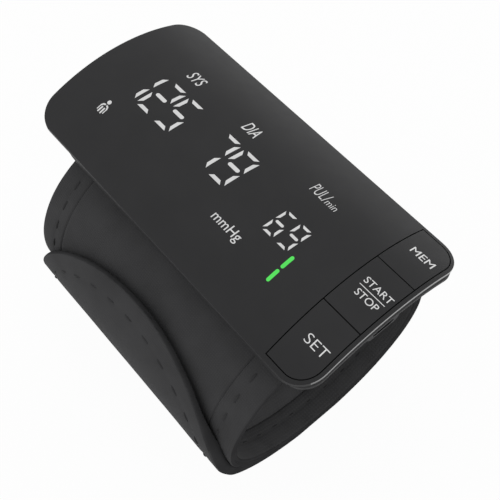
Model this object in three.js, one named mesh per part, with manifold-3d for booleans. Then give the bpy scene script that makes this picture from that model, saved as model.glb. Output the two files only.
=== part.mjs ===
// Wrist blood pressure monitor: a slim arched head seated on a closed fabric cuff.
// Millimetres, +Z up. X runs along the head towards its keys, Y runs across it, and the
// origin lies on the resting plane under the middle of the head.
import * as THREE from 'three';
import { mergeVertices } from 'three/addons/utils/BufferGeometryUtils.js';
import Module from 'manifold-3d';

const wasm = await Module();
wasm.setup();

// Fits shared by many pieces
const CLEARANCE = 0.3;
const SOLDER_GAP = 0.1;
const OVERCUT = 2;

// Head outline and shells
const HEAD_LENGTH = 91.2;
const HEAD_WIDTH = 46;
const HEAD_CORNER = 6.4;
const ARCH_RADIUS = 45.7;
const COVER_THICKNESS = 1.8;
const CASE_INSET = 0.7;
const CASE_LIP = 1.6;
const CASE_WALL = 1.5;
const HULL_INSET = 0.4;
const HULL_END_INSET = 2.4;
const HULL_END_RAKE = 9;
const HULL_FOOT_DEPTH = 8;
const HULL_FOOT_DRAFT = 5;
const BILGE_SHARE = 0.75;

// Keys at the right-hand end
const KEY_FIELD_LENGTH = 10.5;
const KEY_END_RIM = 1.24;
const KEY_SIDE_RIM = 0.95;
const KEY_GAP = 0.3;
const KEY_THICKNESS = 1.2;
const KEY_TRAVEL = 0.4;
const KEY_STEM_RADIUS = 1.2;
const KEY_COUNT = 3;
const SWITCH_LENGTH = 3.4;
const SWITCH_WIDTH = 4;
const SWITCH_HEIGHT = 0.7;
const SWITCH_INSET = 2.1;
const SWITCH_BUTTON_RADIUS = 0.9;
const SWITCH_BUTTON_HEIGHT = 0.3;

// Circuit board and what it carries
const BOARD_THICKNESS = 1;
const BOARD_END_GAP = 1;
const DISPLAY_LENGTH = 66;
const CHIP_SIZE = 7;
const CHIP_HEIGHT = 1;
const BUZZER_RADIUS = 4.5;
const BUZZER_HEIGHT = 2.6;
const SENSOR_SIZE = 7;
const SENSOR_HEIGHT = 2.4;
const BATTERY_LENGTH = 26;
const BATTERY_WIDTH = 18;
const BATTERY_THICKNESS = 3.4;
const BATTERY_CORNER = 1.5;
const PART_SPACING = 1;

// Charging port
const PORT_WIDTH = 8.94;
const PORT_HEIGHT = 3.26;
const PORT_LENGTH = 6.3;
const PORT_WALL = 0.4;
const PORT_BACK = 1;
const PORT_TONGUE_WIDTH = 6.2;
const PORT_TONGUE_HEIGHT = 0.7;
const PORT_TONGUE_SETBACK = 0.6;
const PORT_DEPTH = 7;
const PORT_MOUTH_SETBACK = 0.2;
const PORT_COLLAR_SETBACK = 0.4;
const PORT_COLLAR_WALL = 0.5;

// Air circuit along the +Y side
const PUMP_RADIUS = 4.3;
const MOTOR_LENGTH = 18;
const PUMP_HEAD_LENGTH = 10.5;
const PUMP_CHAMBER_RADIUS = 3.2;
const PUMP_CHAMBER_LENGTH = 6;
const SHAFT_RADIUS = 0.75;
const SHAFT_SOCKET = 2.5;
const CRANK_RADIUS = 1.8;
const CRANK_OFFSET = 0.6;
const CRANK_LENGTH = 2;
const MANIFOLD_LENGTH = 5.4;
const MANIFOLD_HALF_WIDTH = 3;
const NOZZLE_RADIUS = 1.6;
const SPIGOT_RADIUS = 0.9;
const SPIGOT_LENGTH = 2.5;
const TUBE_WALL = 0.4;
const VALVE_RADIUS = 4;
const VALVE_LENGTH = 10;
const VALVE_SEAT = 1.2;
const PLUNGER_RADIUS = 2;
const PLUNGER_LENGTH = 7.5;
const PLUNGER_TRAVEL = 0.8;

// Screws
const CASE_SCREW_END_INSET = 9.6;
const CASE_SCREW_KEY_SPACING = 5.5;
const CASE_SCREW_SIDE_INSET = 3.6;
const CASE_SCREW_SHANK = 0.85;
const CASE_SCREW_HEAD = 1.7;
const CASE_SCREW_HEAD_HEIGHT = 1.2;
const CASE_BOSS_RADIUS = 2.1;
const CASE_BOSS_GAP_DEPTH = 8.4;
const CASE_SHELF = 1.6;
const CASE_SCREW_BITE = 2;
const CUFF_SCREW_SHANK = 0.8;
const CUFF_SCREW_HEAD = 1.8;
const CUFF_SCREW_HEAD_HEIGHT = 0.4;
const CUFF_SCREW_BITE = 0.9;
const CUFF_SCREW_PITCH = 14.5;
const CUFF_SCREW_COUNT = 4;

// Cuff: an elliptic wrap whose tail laps the outside of the -Y wall
const CUFF_WIDTH = 73.4;
const CUFF_HALF_ACROSS = 30.5;
const CUFF_HALF_TALL = 27.6;
const CUFF_SHIFT = -3.8;
const REST_FLAT_DEPTH = 0.8;
const SHELL_THICKNESS = 1.2;
const STAY_THICKNESS = 1;
const BLADDER_THICKNESS = 1.6;
const LINING_THICKNESS = 0.8;
const HEM_BAND = 7.9;
const HEM_FOLD = 0.8;
const HEM_ROLL = 0.9;
const POCKET_SLOPE = 3;
const STAY_FROM_ANGLE = -50;
const STAY_TO_ANGLE = 215;
const BLADDER_FROM_ANGLE = -70;
const BLADDER_TO_ANGLE = 235;
const POCKET_END_GAP = 0.5;
const HOOK_THICKNESS = 0.7;
const HOOK_HALF_WIDTH = 23;
const HOOK_FROM_ANGLE = 165;
const HOOK_TO_ANGLE = 200;
const TAIL_THICKNESS = 1.8;
const TAIL_ROOT_ANGLE = 225;
const TAIL_TIP_ANGLE = 143.5;
const TAIL_END_DEPTH = 27;
const TAIL_HALF_WIDTH = 35.5;
const TAIL_SHIFT = 1;
const LAP_SPREAD_ANGLE = 40;

// Fineness of round shapes
const ARC_STEPS = 10;
const CORNER_STEPS = 3;
const ROUND_STEPS = 16;
const RING_STEPS = 60;
const ROLL_STEPS = 3;
const TAIL_ROWS = 16;
const TAIL_COLUMNS = 10;
const TIP_START = 0.006;
const MERGE_DISTANCE = 1e-4;
const QUARTER = Math.PI / 2;
const DEGREE = Math.PI / 180;
const FULL_TURN = 360;

// Turns a closed three.js geometry into a solid that can be joined and cut.
function solidOf(geometry) {
  const bare = geometry.index ? geometry.toNonIndexed() : geometry.clone();
  bare.deleteAttribute('normal');
  bare.deleteAttribute('uv');
  const merged = mergeVertices(bare, MERGE_DISTANCE);
  const mesh = new wasm.Mesh({
    numProp: 3,
    vertProperties: Float32Array.from(merged.attributes.position.array),
    triVerts: Uint32Array.from(merged.index.array),
  });
  return new wasm.Manifold(mesh);
}

// Turns a solid back into a geometry.
function geometryOf(solid) {
  const mesh = solid.getMesh();
  const geometry = new THREE.BufferGeometry();
  const positions = Float32Array.from(mesh.vertProperties);
  geometry.setAttribute('position', new THREE.BufferAttribute(positions, 3));
  geometry.setIndex(new THREE.BufferAttribute(Uint32Array.from(mesh.triVerts), 1));
  geometry.computeVertexNormals();
  return geometry;
}

function box(x0, x1, y0, y1, z0, z1) {
  const geometry = new THREE.BoxGeometry(x1 - x0, y1 - y0, z1 - z0);
  geometry.translate((x0 + x1) / 2, (y0 + y1) / 2, (z0 + z1) / 2);
  return solidOf(geometry);
}

function rodAlongX(radius, x0, x1, y, z) {
  const geometry = new THREE.CylinderGeometry(radius, radius, x1 - x0, ROUND_STEPS);
  geometry.rotateZ(-QUARTER);
  geometry.translate((x0 + x1) / 2, y, z);
  return solidOf(geometry);
}

function rodAlongY(radius, y0, y1, x, z) {
  const geometry = new THREE.CylinderGeometry(radius, radius, y1 - y0, ROUND_STEPS);
  geometry.translate(x, (y0 + y1) / 2, z);
  return solidOf(geometry);
}

function rodAlongZ(radius, z0, z1, x, y) {
  const geometry = new THREE.CylinderGeometry(radius, radius, z1 - z0, ROUND_STEPS);
  geometry.rotateX(QUARTER);
  geometry.translate(x, y, (z0 + z1) / 2);
  return solidOf(geometry);
}

// Extrudes a shape drawn in X and Y upwards.
function prismAlongZ(shape, z0, z1) {
  const options = { depth: z1 - z0, bevelEnabled: false, curveSegments: CORNER_STEPS };
  const geometry = new THREE.ExtrudeGeometry(shape, options);
  geometry.translate(0, 0, z0);
  return solidOf(geometry);
}

// Extrudes a shape drawn in Y and Z along the head.
function prismAlongX(shape, x0, x1, steps = ARC_STEPS) {
  const options = { depth: x1 - x0, bevelEnabled: false, curveSegments: steps };
  const geometry = new THREE.ExtrudeGeometry(shape, options);
  const across = new THREE.Vector3(0, 1, 0);
  const up = new THREE.Vector3(0, 0, 1);
  const along = new THREE.Vector3(1, 0, 0);
  geometry.applyMatrix4(new THREE.Matrix4().makeBasis(across, up, along));
  geometry.translate(x0, 0, 0);
  return solidOf(geometry);
}

function roundedRectangle(halfLength, halfWidth, corner, centreX = 0, centreY = 0) {
  const shape = new THREE.Shape();
  const x = halfLength - corner;
  const y = halfWidth - corner;
  shape.absarc(centreX + x, centreY + y, corner, 0, QUARTER, false);
  shape.absarc(centreX - x, centreY + y, corner, QUARTER, 2 * QUARTER, false);
  shape.absarc(centreX - x, centreY - y, corner, 2 * QUARTER, 3 * QUARTER, false);
  shape.absarc(centreX + x, centreY - y, corner, 3 * QUARTER, 4 * QUARTER, false);
  return shape;
}

// Skins a stack of rounded rectangles, lowest first, into one closed body.
function loft(sections) {
  const rings = sections.map(({ halfLength, halfWidth, corner, z }) =>
    roundedRectangle(halfLength, halfWidth, corner)
      .getPoints(CORNER_STEPS)
      .map((point) => [point.x, point.y, z]));
  const count = rings[0].length;
  const top = (rings.length - 1) * count;
  const index = [];
  for (let ring = 0; ring + 1 < rings.length; ring += 1) {
    for (let i = 0; i < count; i += 1) {
      const here = ring * count + i;
      const next = ring * count + ((i + 1) % count);
      index.push(here, next, next + count, here, next + count, here + count);
    }
  }
  for (let i = 1; i + 1 < count; i += 1) {
    index.push(0, i + 1, i);
    index.push(top, top + i, top + i + 1);
  }
  const geometry = new THREE.BufferGeometry();
  geometry.setAttribute('position', new THREE.Float32BufferAttribute(rings.flat(2), 3));
  geometry.setIndex(index);
  return solidOf(geometry);
}

// Heights: the head's depth follows from the stack of pieces between its cover and the cuff.
const sag = (y) => ARCH_RADIUS - Math.sqrt(ARCH_RADIUS ** 2 - y ** 2);
const HEAD_END = HEAD_LENGTH / 2;
const HEAD_SIDE = HEAD_WIDTH / 2;
const SCREW_Y = HEAD_SIDE - CASE_SCREW_SIDE_INSET;
const BOARD_HALF_WIDTH = SCREW_Y - CASE_BOSS_RADIUS - CLEARANCE;
const COVER_UNDERSIDE_RADIUS = ARCH_RADIUS - COVER_THICKNESS;
const MIDDLE_KEY = (KEY_COUNT - 1) / 2;
const KEY_FIELD_HALF_WIDTH = HEAD_SIDE - KEY_SIDE_RIM;
const KEY_PITCH = (2 * KEY_FIELD_HALF_WIDTH) / KEY_COUNT;
const SWITCH_PITCH = KEY_PITCH - SWITCH_INSET;
const SWITCH_REACH = MIDDLE_KEY * SWITCH_PITCH + SWITCH_WIDTH / 2;
const KEY_UNDERSIDE_RADIUS = ARCH_RADIUS - KEY_THICKNESS;
const KEY_UNDERSIDE_DEPTH = ARCH_RADIUS - Math.sqrt(KEY_UNDERSIDE_RADIUS ** 2 - SWITCH_REACH ** 2);
const KEY_STACK_DEPTH = KEY_UNDERSIDE_DEPTH + KEY_TRAVEL + CLEARANCE + SWITCH_HEIGHT + SOLDER_GAP;
const BOARD_EDGE_DEPTH = sag(BOARD_HALF_WIDTH) + COVER_THICKNESS + CLEARANCE;
const BOARD_TOP_DEPTH = Math.max(BOARD_EDGE_DEPTH, KEY_STACK_DEPTH);
const BOARD_BOTTOM_DEPTH = BOARD_TOP_DEPTH + BOARD_THICKNESS;
const BATTERY_DEPTH = BOARD_BOTTOM_DEPTH + CLEARANCE;
const FLOOR_DEPTH = BATTERY_DEPTH + BATTERY_THICKNESS + CLEARANCE;
const CUFF_CENTRE_Z = CUFF_HALF_TALL - REST_FLAT_DEPTH;
const CUFF_TOP = CUFF_CENTRE_Z + CUFF_HALF_TALL;
const APEX = CUFF_TOP + CLEARANCE + CASE_WALL + FLOOR_DEPTH;
const heightAt = (depth) => APEX - depth;

// Cuff layers, as distances from the outer surface of the wrap
const STAY_OUTER = -SHELL_THICKNESS - CLEARANCE;
const STAY_INNER = STAY_OUTER - STAY_THICKNESS;
const BLADDER_OUTER = STAY_INNER - CLEARANCE;
const BLADDER_INNER = BLADDER_OUTER - BLADDER_THICKNESS;
const LINING_OUTER = BLADDER_INNER - CLEARANCE;
const LINING_INNER = LINING_OUTER - LINING_THICKNESS;
const HOOK_INNER = CLEARANCE;
const HOOK_OUTER = HOOK_INNER + HOOK_THICKNESS;
const TAIL_INNER = HOOK_OUTER + CLEARANCE;
const TAIL_OUTER = TAIL_INNER + TAIL_THICKNESS;
const CUFF_END = CUFF_WIDTH / 2;
const HEM_OUTER = -SHELL_THICKNESS - CLEARANCE;
const HEM_INNER = HEM_OUTER - LINING_THICKNESS;
const HEM_START = CUFF_END - HEM_BAND;
const POCKET_SIDE = HEM_START - POCKET_SLOPE;
const POCKET_END = POCKET_SIDE - POCKET_END_GAP;

// A point of the wrap's section at an angle in degrees, at a distance from its outer surface.
function wrapPoint(degrees, offset) {
  const angle = degrees * DEGREE;
  const y = CUFF_SHIFT + (CUFF_HALF_ACROSS + offset) * Math.cos(angle);
  const z = CUFF_CENTRE_Z + (CUFF_HALF_TALL + offset) * Math.sin(angle);
  return new THREE.Vector2(y, z);
}

function wrapArc(from, to, offsetAt) {
  const steps = Math.ceil((RING_STEPS * Math.abs(to - from)) / FULL_TURN);
  const points = [];
  for (let i = 0; i <= steps; i += 1) {
    const degrees = from + ((to - from) * i) / steps;
    points.push(wrapPoint(degrees, offsetAt(degrees)));
  }
  return points;
}

function wrapDisc(offset, x0, x1) {
  const outline = wrapArc(0, FULL_TURN, () => offset).slice(0, -1);
  return prismAlongX(new THREE.Shape(outline), x0, x1);
}

// Sweeps a closed profile of across and offset values round the wrap.
function wrapSweep(profile) {
  const count = profile.length;
  const positions = [];
  const index = [];
  for (let step = 0; step < RING_STEPS; step += 1) {
    const degrees = TAIL_ROOT_ANGLE - FULL_TURN + (FULL_TURN * step) / RING_STEPS;
    const next = ((step + 1) % RING_STEPS) * count;
    for (let i = 0; i < count; i += 1) {
      const [across, offset] = profile[i];
      const point = wrapPoint(degrees, offset);
      positions.push(across, point.x, point.y);
      const here = step * count + i;
      const j = (i + 1) % count;
      index.push(here, next + j, step * count + j, here, next + i, next + j);
    }
  }
  const geometry = new THREE.BufferGeometry();
  geometry.setAttribute('position', new THREE.Float32BufferAttribute(positions, 3));
  geometry.setIndex(index);
  return solidOf(geometry);
}

// Mirrors one half of a profile, from the middle to the edge and back, into a closed one.
function mirroredProfile(half) {
  const mirror = half.slice(1, -1).reverse().map(([across, offset]) => [-across, offset]);
  return half.concat(mirror);
}

// An open arc of the wrap, for the layers that stop short of the overlap.
function wrapBand(outer, inner, from, to, halfWidth) {
  const outline = wrapArc(from, to, () => outer).concat(wrapArc(to, from, () => inner));
  return prismAlongX(new THREE.Shape(outline), -halfWidth, halfWidth);
}

// A curved sheet on the wrap. Its half width at each distance from the tip comes from a function.
function wrapSheet({ outer, inner, tip, root, rows, halfWidthAt, shift }) {
  const meanRadius = (CUFF_HALF_ACROSS + CUFF_HALF_TALL) / 2 + (outer + inner) / 2;
  const columns = TAIL_COLUMNS;
  const positions = [];
  for (const offset of [outer, inner]) {
    for (let row = 0; row <= rows; row += 1) {
      const share = TIP_START + (1 - TIP_START) * (row / rows) ** 2;
      const degrees = tip + (root - tip) * share;
      const halfWidth = halfWidthAt((degrees - tip) * DEGREE * meanRadius);
      const point = wrapPoint(degrees, offset);
      for (let column = 0; column <= columns; column += 1) {
        positions.push(shift + halfWidth * ((2 * column) / columns - 1), point.x, point.y);
      }
    }
  }
  const far = (rows + 1) * (columns + 1);
  const at = (row, column) => row * (columns + 1) + column;
  const index = [];
  const wall = (from, to) => index.push(to, from, from + far, to, from + far, to + far);
  for (let row = 0; row < rows; row += 1) {
    for (let column = 0; column < columns; column += 1) {
      const a = at(row, column);
      const b = at(row + 1, column);
      const c = at(row, column + 1);
      const d = at(row + 1, column + 1);
      index.push(a, b, d, a, d, c);
      index.push(a + far, d + far, b + far, a + far, c + far, d + far);
    }
    wall(at(row, 0), at(row + 1, 0));
    wall(at(row + 1, columns), at(row, columns));
  }
  for (let column = 0; column < columns; column += 1) {
    wall(at(rows, column), at(rows, column + 1));
    wall(at(0, column + 1), at(0, column));
  }
  const geometry = new THREE.BufferGeometry();
  geometry.setAttribute('position', new THREE.Float32BufferAttribute(positions, 3));
  geometry.setIndex(index);
  return solidOf(geometry);
}

// Head shells: everything under an arch of the given radius about the head's long axis.
function underArch(radius, halfLength, halfWidth) {
  const rise = Math.sqrt(radius ** 2 - halfWidth ** 2);
  const edge = Math.asin(halfWidth / radius);
  const centre = heightAt(ARCH_RADIUS);
  const shape = new THREE.Shape();
  shape.moveTo(-halfWidth, CUFF_CENTRE_Z);
  shape.lineTo(halfWidth, CUFF_CENTRE_Z);
  shape.lineTo(halfWidth, centre + rise);
  shape.absarc(0, centre, radius, QUARTER - edge, QUARTER + edge, false);
  return prismAlongX(shape, -halfLength, halfLength);
}

function archPlate(outerRadius, innerRadius) {
  const outer = underArch(outerRadius, HEAD_LENGTH, HEAD_SIDE + OVERCUT);
  return outer.subtract(underArch(innerRadius, HEAD_LENGTH + OVERCUT, HEAD_SIDE + 2 * OVERCUT));
}

function headPrism(inset) {
  const outline = roundedRectangle(HEAD_END - inset, HEAD_SIDE - inset, HEAD_CORNER - inset);
  return prismAlongZ(outline, CUFF_CENTRE_Z, APEX + OVERCUT);
}

// The field that the keys fill, shrunk by an inset.
const KEY_FIELD_X1 = HEAD_END - KEY_END_RIM;
const KEY_FIELD_X0 = KEY_FIELD_X1 - KEY_FIELD_LENGTH;

function keyField(inset) {
  const corner = HEAD_CORNER - KEY_END_RIM - inset;
  const halfLength = KEY_FIELD_LENGTH;
  const outline = roundedRectangle(
    halfLength, KEY_FIELD_HALF_WIDTH - inset, corner, KEY_FIELD_X1 - halfLength - inset);
  const field = prismAlongZ(outline, CUFF_CENTRE_Z, APEX + OVERCUT);
  const left = box(-HEAD_LENGTH, KEY_FIELD_X0 + inset, -HEAD_WIDTH, HEAD_WIDTH, 0, 2 * APEX);
  return field.subtract(left);
}

const keyEdge = (number) => -KEY_FIELD_HALF_WIDTH + number * KEY_PITCH;
const SWITCH_X = KEY_FIELD_X0 + SWITCH_LENGTH / 2;
const SWITCH_TOP_DEPTH = BOARD_TOP_DEPTH - SOLDER_GAP - SWITCH_HEIGHT - SWITCH_BUTTON_HEIGHT;

// Places of the air circuit: the pump lies against the cover's arch on the +Y side.
const HULL_SIDE = HEAD_SIDE - CASE_INSET - HULL_INSET;
const HULL_END = HEAD_END - CASE_INSET - HULL_END_INSET;
const PORT_MOUTH = HEAD_END - CASE_INSET - PORT_COLLAR_SETBACK;
const PORT_X1 = PORT_MOUTH - PORT_MOUTH_SETBACK;
const PORT_X0 = PORT_X1 - PORT_LENGTH;
const PUMP_Y = HULL_SIDE - CASE_WALL - CLEARANCE - PUMP_RADIUS;
const PUMP_REACH = COVER_UNDERSIDE_RADIUS - CLEARANCE - PUMP_RADIUS;
const PUMP_DEPTH = ARCH_RADIUS - Math.sqrt(PUMP_REACH ** 2 - PUMP_Y ** 2);
const PUMP_Z = heightAt(PUMP_DEPTH);
const LEFT_SCREW_X = -HEAD_END + CASE_SCREW_END_INSET;
const RIGHT_SCREW_X = KEY_FIELD_X0 - CASE_SCREW_KEY_SPACING;
const MOTOR_X0 = LEFT_SCREW_X + CASE_BOSS_RADIUS + CLEARANCE;
const MOTOR_X1 = MOTOR_X0 + MOTOR_LENGTH;
const PUMP_HEAD_X0 = MOTOR_X1 + CLEARANCE;
const PUMP_HEAD_X1 = PUMP_HEAD_X0 + PUMP_HEAD_LENGTH;
const MANIFOLD_X0 = PUMP_HEAD_X1 + CLEARANCE;
const MANIFOLD_X1 = MANIFOLD_X0 + MANIFOLD_LENGTH;
const MANIFOLD_X = (MANIFOLD_X0 + MANIFOLD_X1) / 2;
const VALVE_X0 = MANIFOLD_X1 + CLEARANCE;
const VALVE_X1 = VALVE_X0 + VALVE_LENGTH;
const BOARD_SIDE = PUMP_Y - PUMP_RADIUS - CLEARANCE;
const SENSOR_X0 = MANIFOLD_X - SENSOR_SIZE / 2;
const SENSOR_Y1 = CUFF_SHIFT - PART_SPACING;
const SENSOR_DEPTH = BOARD_BOTTOM_DEPTH + SOLDER_GAP;
const TUBE_INNER = SPIGOT_RADIUS + CLEARANCE;
const TUBE_OUTER = TUBE_INNER + TUBE_WALL;
const TUBE_Z = heightAt(BOARD_BOTTOM_DEPTH + CLEARANCE + TUBE_OUTER);

// The rear case is a boat-like hull: upright behind its lip, then drawn in towards the cuff.
const HULL_BELLY_DEPTH = PUMP_DEPTH + CASE_WALL + CLEARANCE;
const HULL_BILGE_DEPTH = PUMP_DEPTH + PUMP_RADIUS + CASE_WALL;
const HULL_BILGE_SIDE = PUMP_Y + BILGE_SHARE * PUMP_RADIUS + CLEARANCE + CASE_WALL;

function hull(inset) {
  const corner = HEAD_CORNER - CASE_INSET - HULL_INSET - inset;
  const section = (depth, halfLength, halfWidth) => ({
    halfLength: halfLength - inset,
    halfWidth: halfWidth - inset,
    corner,
    z: heightAt(depth - inset),
  });
  const footDepth = HULL_BILGE_DEPTH + HULL_FOOT_DEPTH;
  const footEnd = HULL_END - HULL_END_RAKE - HULL_FOOT_DRAFT;
  return loft([
    section(footDepth, footEnd, HULL_BILGE_SIDE - HULL_FOOT_DRAFT),
    section(HULL_BILGE_DEPTH, HULL_END - HULL_END_RAKE / 2, HULL_BILGE_SIDE),
    section(HULL_BELLY_DEPTH, HULL_END, HULL_SIDE),
    section(-OVERCUT, HULL_END, HULL_SIDE),
  ]);
}

// Pieces
const materials = {
  shell: { color: 0x35363a, roughness: 0.5, metalness: 0 },
  key: { color: 0x333438, roughness: 0.5, metalness: 0 },
  rear: { color: 0x2a2b2e, roughness: 0.55, metalness: 0 },
  steel: { color: 0xb4b8bd, roughness: 0.35, metalness: 1 },
  black: { color: 0x17181a, roughness: 0.6, metalness: 0 },
  board: { color: 0x1f5a3a, roughness: 0.5, metalness: 0 },
  diffuser: { color: 0xe6e6e2, roughness: 0.5, metalness: 0 },
  pouch: { color: 0xaeb2b8, roughness: 0.4, metalness: 0.6 },
  silicone: { color: 0xd9d6cf, roughness: 0.6, metalness: 0 },
  fabric: { color: 0x3b3c3f, roughness: 0.9, metalness: 0 },
  lining: { color: 0x2c2d30, roughness: 0.95, metalness: 0 },
  stay: { color: 0xd4d4cf, roughness: 0.5, metalness: 0 },
  hook: { color: 0x1c1d1f, roughness: 0.95, metalness: 0 },
};
const monitor = new THREE.Group();

function addPiece(name, solid, finish) {
  const material = new THREE.MeshStandardMaterial(materials[finish]);
  const mesh = new THREE.Mesh(geometryOf(solid), material);
  mesh.name = name;
  monitor.add(mesh);
}

const screwPlaces = [];
for (const x of [LEFT_SCREW_X, RIGHT_SCREW_X]) {
  for (const side of [-1, 1]) {
    screwPlaces.push({ x, y: side * SCREW_Y });
  }
}
const cuffScrewPlaces = [];
for (let i = 0; i < CUFF_SCREW_COUNT; i += 1) {
  cuffScrewPlaces.push((i - (CUFF_SCREW_COUNT - 1) / 2) * CUFF_SCREW_PITCH);
}
const SHELF_DEPTH = CASE_BOSS_GAP_DEPTH + CLEARANCE + CASE_SHELF;
const PILOT_RADIUS = CASE_SCREW_SHANK + CLEARANCE;
const NOZZLE_HOLE = NOZZLE_RADIUS + CLEARANCE;
const CUFF_SCREW_HOLE = CUFF_SCREW_SHANK + CLEARANCE;
const nozzleHole = rodAlongZ(NOZZLE_HOLE, CUFF_CENTRE_Z, PUMP_Z, MANIFOLD_X, PUMP_Y);

// The front cover is one arched plate with the key field cut out and screw bosses below it.
function frontCover() {
  let cover = archPlate(ARCH_RADIUS, COVER_UNDERSIDE_RADIUS).intersect(headPrism(0));
  cover = cover.subtract(keyField(0));
  for (const { x, y } of screwPlaces) {
    const post = rodAlongZ(CASE_BOSS_RADIUS, heightAt(CASE_BOSS_GAP_DEPTH), APEX, x, y);
    const inside = underArch(ARCH_RADIUS - COVER_THICKNESS / 2, HEAD_END, HEAD_SIDE);
    cover = cover.add(post.intersect(inside));
    const pilotTop = heightAt(SHELF_DEPTH - CASE_SHELF - CASE_SCREW_BITE - CLEARANCE);
    cover = cover.subtract(rodAlongZ(PILOT_RADIUS, CUFF_CENTRE_Z, pilotTop, x, y));
  }
  return cover;
}

// The rear case is hollow, open at the top, and shaped below to sit on the cuff.
function rearCase() {
  const lipTop = COVER_UNDERSIDE_RADIUS - CLEARANCE;
  const lip = archPlate(lipTop, lipTop - CASE_LIP).intersect(headPrism(CASE_INSET));
  const seat = wrapDisc(CLEARANCE, -HEAD_LENGTH, HEAD_LENGTH);
  const floor = wrapDisc(CLEARANCE + CASE_WALL, -HEAD_LENGTH, HEAD_LENGTH);
  let hollow = hull(CASE_WALL).subtract(floor);
  for (const { x, y } of screwPlaces) {
    const postTop = heightAt(CASE_BOSS_GAP_DEPTH + CLEARANCE);
    hollow = hollow.subtract(rodAlongZ(CASE_BOSS_RADIUS, CUFF_CENTRE_Z, postTop, x, y));
  }
  const collar = portPrism(CLEARANCE + PORT_COLLAR_WALL, HULL_END - CASE_WALL, PORT_MOUTH);
  let body = hull(0).add(lip).intersect(underArch(lipTop, HEAD_LENGTH, HEAD_WIDTH / 2));
  body = body.subtract(seat).subtract(hollow).add(collar);
  for (const { x, y } of screwPlaces) {
    const hole = rodAlongZ(PILOT_RADIUS, CUFF_CENTRE_Z, APEX, x, y);
    const recess = rodAlongZ(
      CASE_SCREW_HEAD + CLEARANCE, CUFF_CENTRE_Z, heightAt(SHELF_DEPTH), x, y);
    body = body.subtract(hole).subtract(recess);
    const bossRoom = rodAlongZ(
      CASE_BOSS_RADIUS + CLEARANCE, heightAt(CASE_BOSS_GAP_DEPTH + CLEARANCE), APEX, x, y);
    body = body.subtract(bossRoom);
  }
  for (const x of cuffScrewPlaces) {
    const bite = CUFF_TOP + CLEARANCE + CUFF_SCREW_BITE + CLEARANCE;
    body = body.subtract(rodAlongZ(CUFF_SCREW_HOLE, CUFF_CENTRE_Z, bite, x, CUFF_SHIFT));
  }
  return body.subtract(nozzleHole).subtract(portPrism(CLEARANCE, PORT_X0 - CLEARANCE, HEAD_LENGTH));
}

function portPrism(growth, x0, x1) {
  const halfHeight = PORT_HEIGHT / 2 + growth;
  const outline = roundedRectangle(
    PORT_WIDTH / 2 + growth, halfHeight, halfHeight - SOLDER_GAP, 0, heightAt(PORT_DEPTH));
  return prismAlongX(outline, x0, x1, CORNER_STEPS);
}

addPiece('front_cover', frontCover(), 'shell');
addPiece('rear_case', rearCase(), 'rear');

// Three keys share the arch of the cover, and each has a stem over its switch.
const keyNames = ['set', 'start_stop', 'mem'];
keyNames.forEach((name, number) => {
  const plate = archPlate(ARCH_RADIUS, KEY_UNDERSIDE_RADIUS);
  const low = number === 0 ? -HEAD_WIDTH : keyEdge(number) + KEY_GAP / 2;
  const high = number === KEY_COUNT - 1 ? HEAD_WIDTH : keyEdge(number + 1) - KEY_GAP / 2;
  const slice = box(0, HEAD_LENGTH, low, high, 0, 2 * APEX);
  const y = (number - MIDDLE_KEY) * SWITCH_PITCH;
  const stemEnd = heightAt(SWITCH_TOP_DEPTH - KEY_TRAVEL - CLEARANCE);
  const stem = rodAlongZ(KEY_STEM_RADIUS, stemEnd, APEX, SWITCH_X, y)
    .intersect(underArch(ARCH_RADIUS - KEY_THICKNESS / 2, HEAD_END, HEAD_SIDE));
  addPiece(`${name}_button`, plate.intersect(keyField(KEY_GAP)).intersect(slice).add(stem), 'key');
  const foot = heightAt(BOARD_TOP_DEPTH - SOLDER_GAP);
  const halfLength = SWITCH_LENGTH / 2;
  const halfWidth = SWITCH_WIDTH / 2;
  const base = box(
    SWITCH_X - halfLength, SWITCH_X + halfLength, y - halfWidth, y + halfWidth,
    foot, foot + SWITCH_HEIGHT);
  const button = rodAlongZ(SWITCH_BUTTON_RADIUS, foot, heightAt(SWITCH_TOP_DEPTH), SWITCH_X, y);
  addPiece(`${name}_switch`, base.add(button), 'black');
});

// The main board is a strip that widens under the keys, notched for the port.
const BOARD_X0 = -HULL_END + CASE_WALL + BOARD_END_GAP;
const BOARD_X1 = HULL_END - CASE_WALL - BOARD_END_GAP;
const BOARD_WIDE_X0 = RIGHT_SCREW_X + CASE_BOSS_RADIUS + CLEARANCE;
const BOARD_TOP = heightAt(BOARD_TOP_DEPTH);
const BOARD_BOTTOM = heightAt(BOARD_BOTTOM_DEPTH);

function mainBoard() {
  const strip = box(BOARD_X0, BOARD_X1, -BOARD_HALF_WIDTH, BOARD_SIDE, BOARD_BOTTOM, BOARD_TOP);
  const wide = box(
    BOARD_WIDE_X0, BOARD_X1, -BOARD_HALF_WIDTH, BOARD_HALF_WIDTH, BOARD_BOTTOM, BOARD_TOP);
  return strip.add(wide).subtract(portPrism(CLEARANCE, PORT_X0 - CLEARANCE, HEAD_LENGTH));
}

addPiece('main_board', mainBoard(), 'board');

const DISPLAY_X1 = SWITCH_X - SWITCH_LENGTH / 2 - PART_SPACING;
const DISPLAY_X0 = DISPLAY_X1 - DISPLAY_LENGTH;
const displayRoom = box(
  DISPLAY_X0, DISPLAY_X1, -BOARD_SIDE, BOARD_SIDE, heightAt(BOARD_TOP_DEPTH - SOLDER_GAP), APEX);
const displayArch = underArch(COVER_UNDERSIDE_RADIUS - CLEARANCE, HEAD_END, HEAD_SIDE);
addPiece('display_module', displayRoom.intersect(displayArch), 'diffuser');

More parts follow.
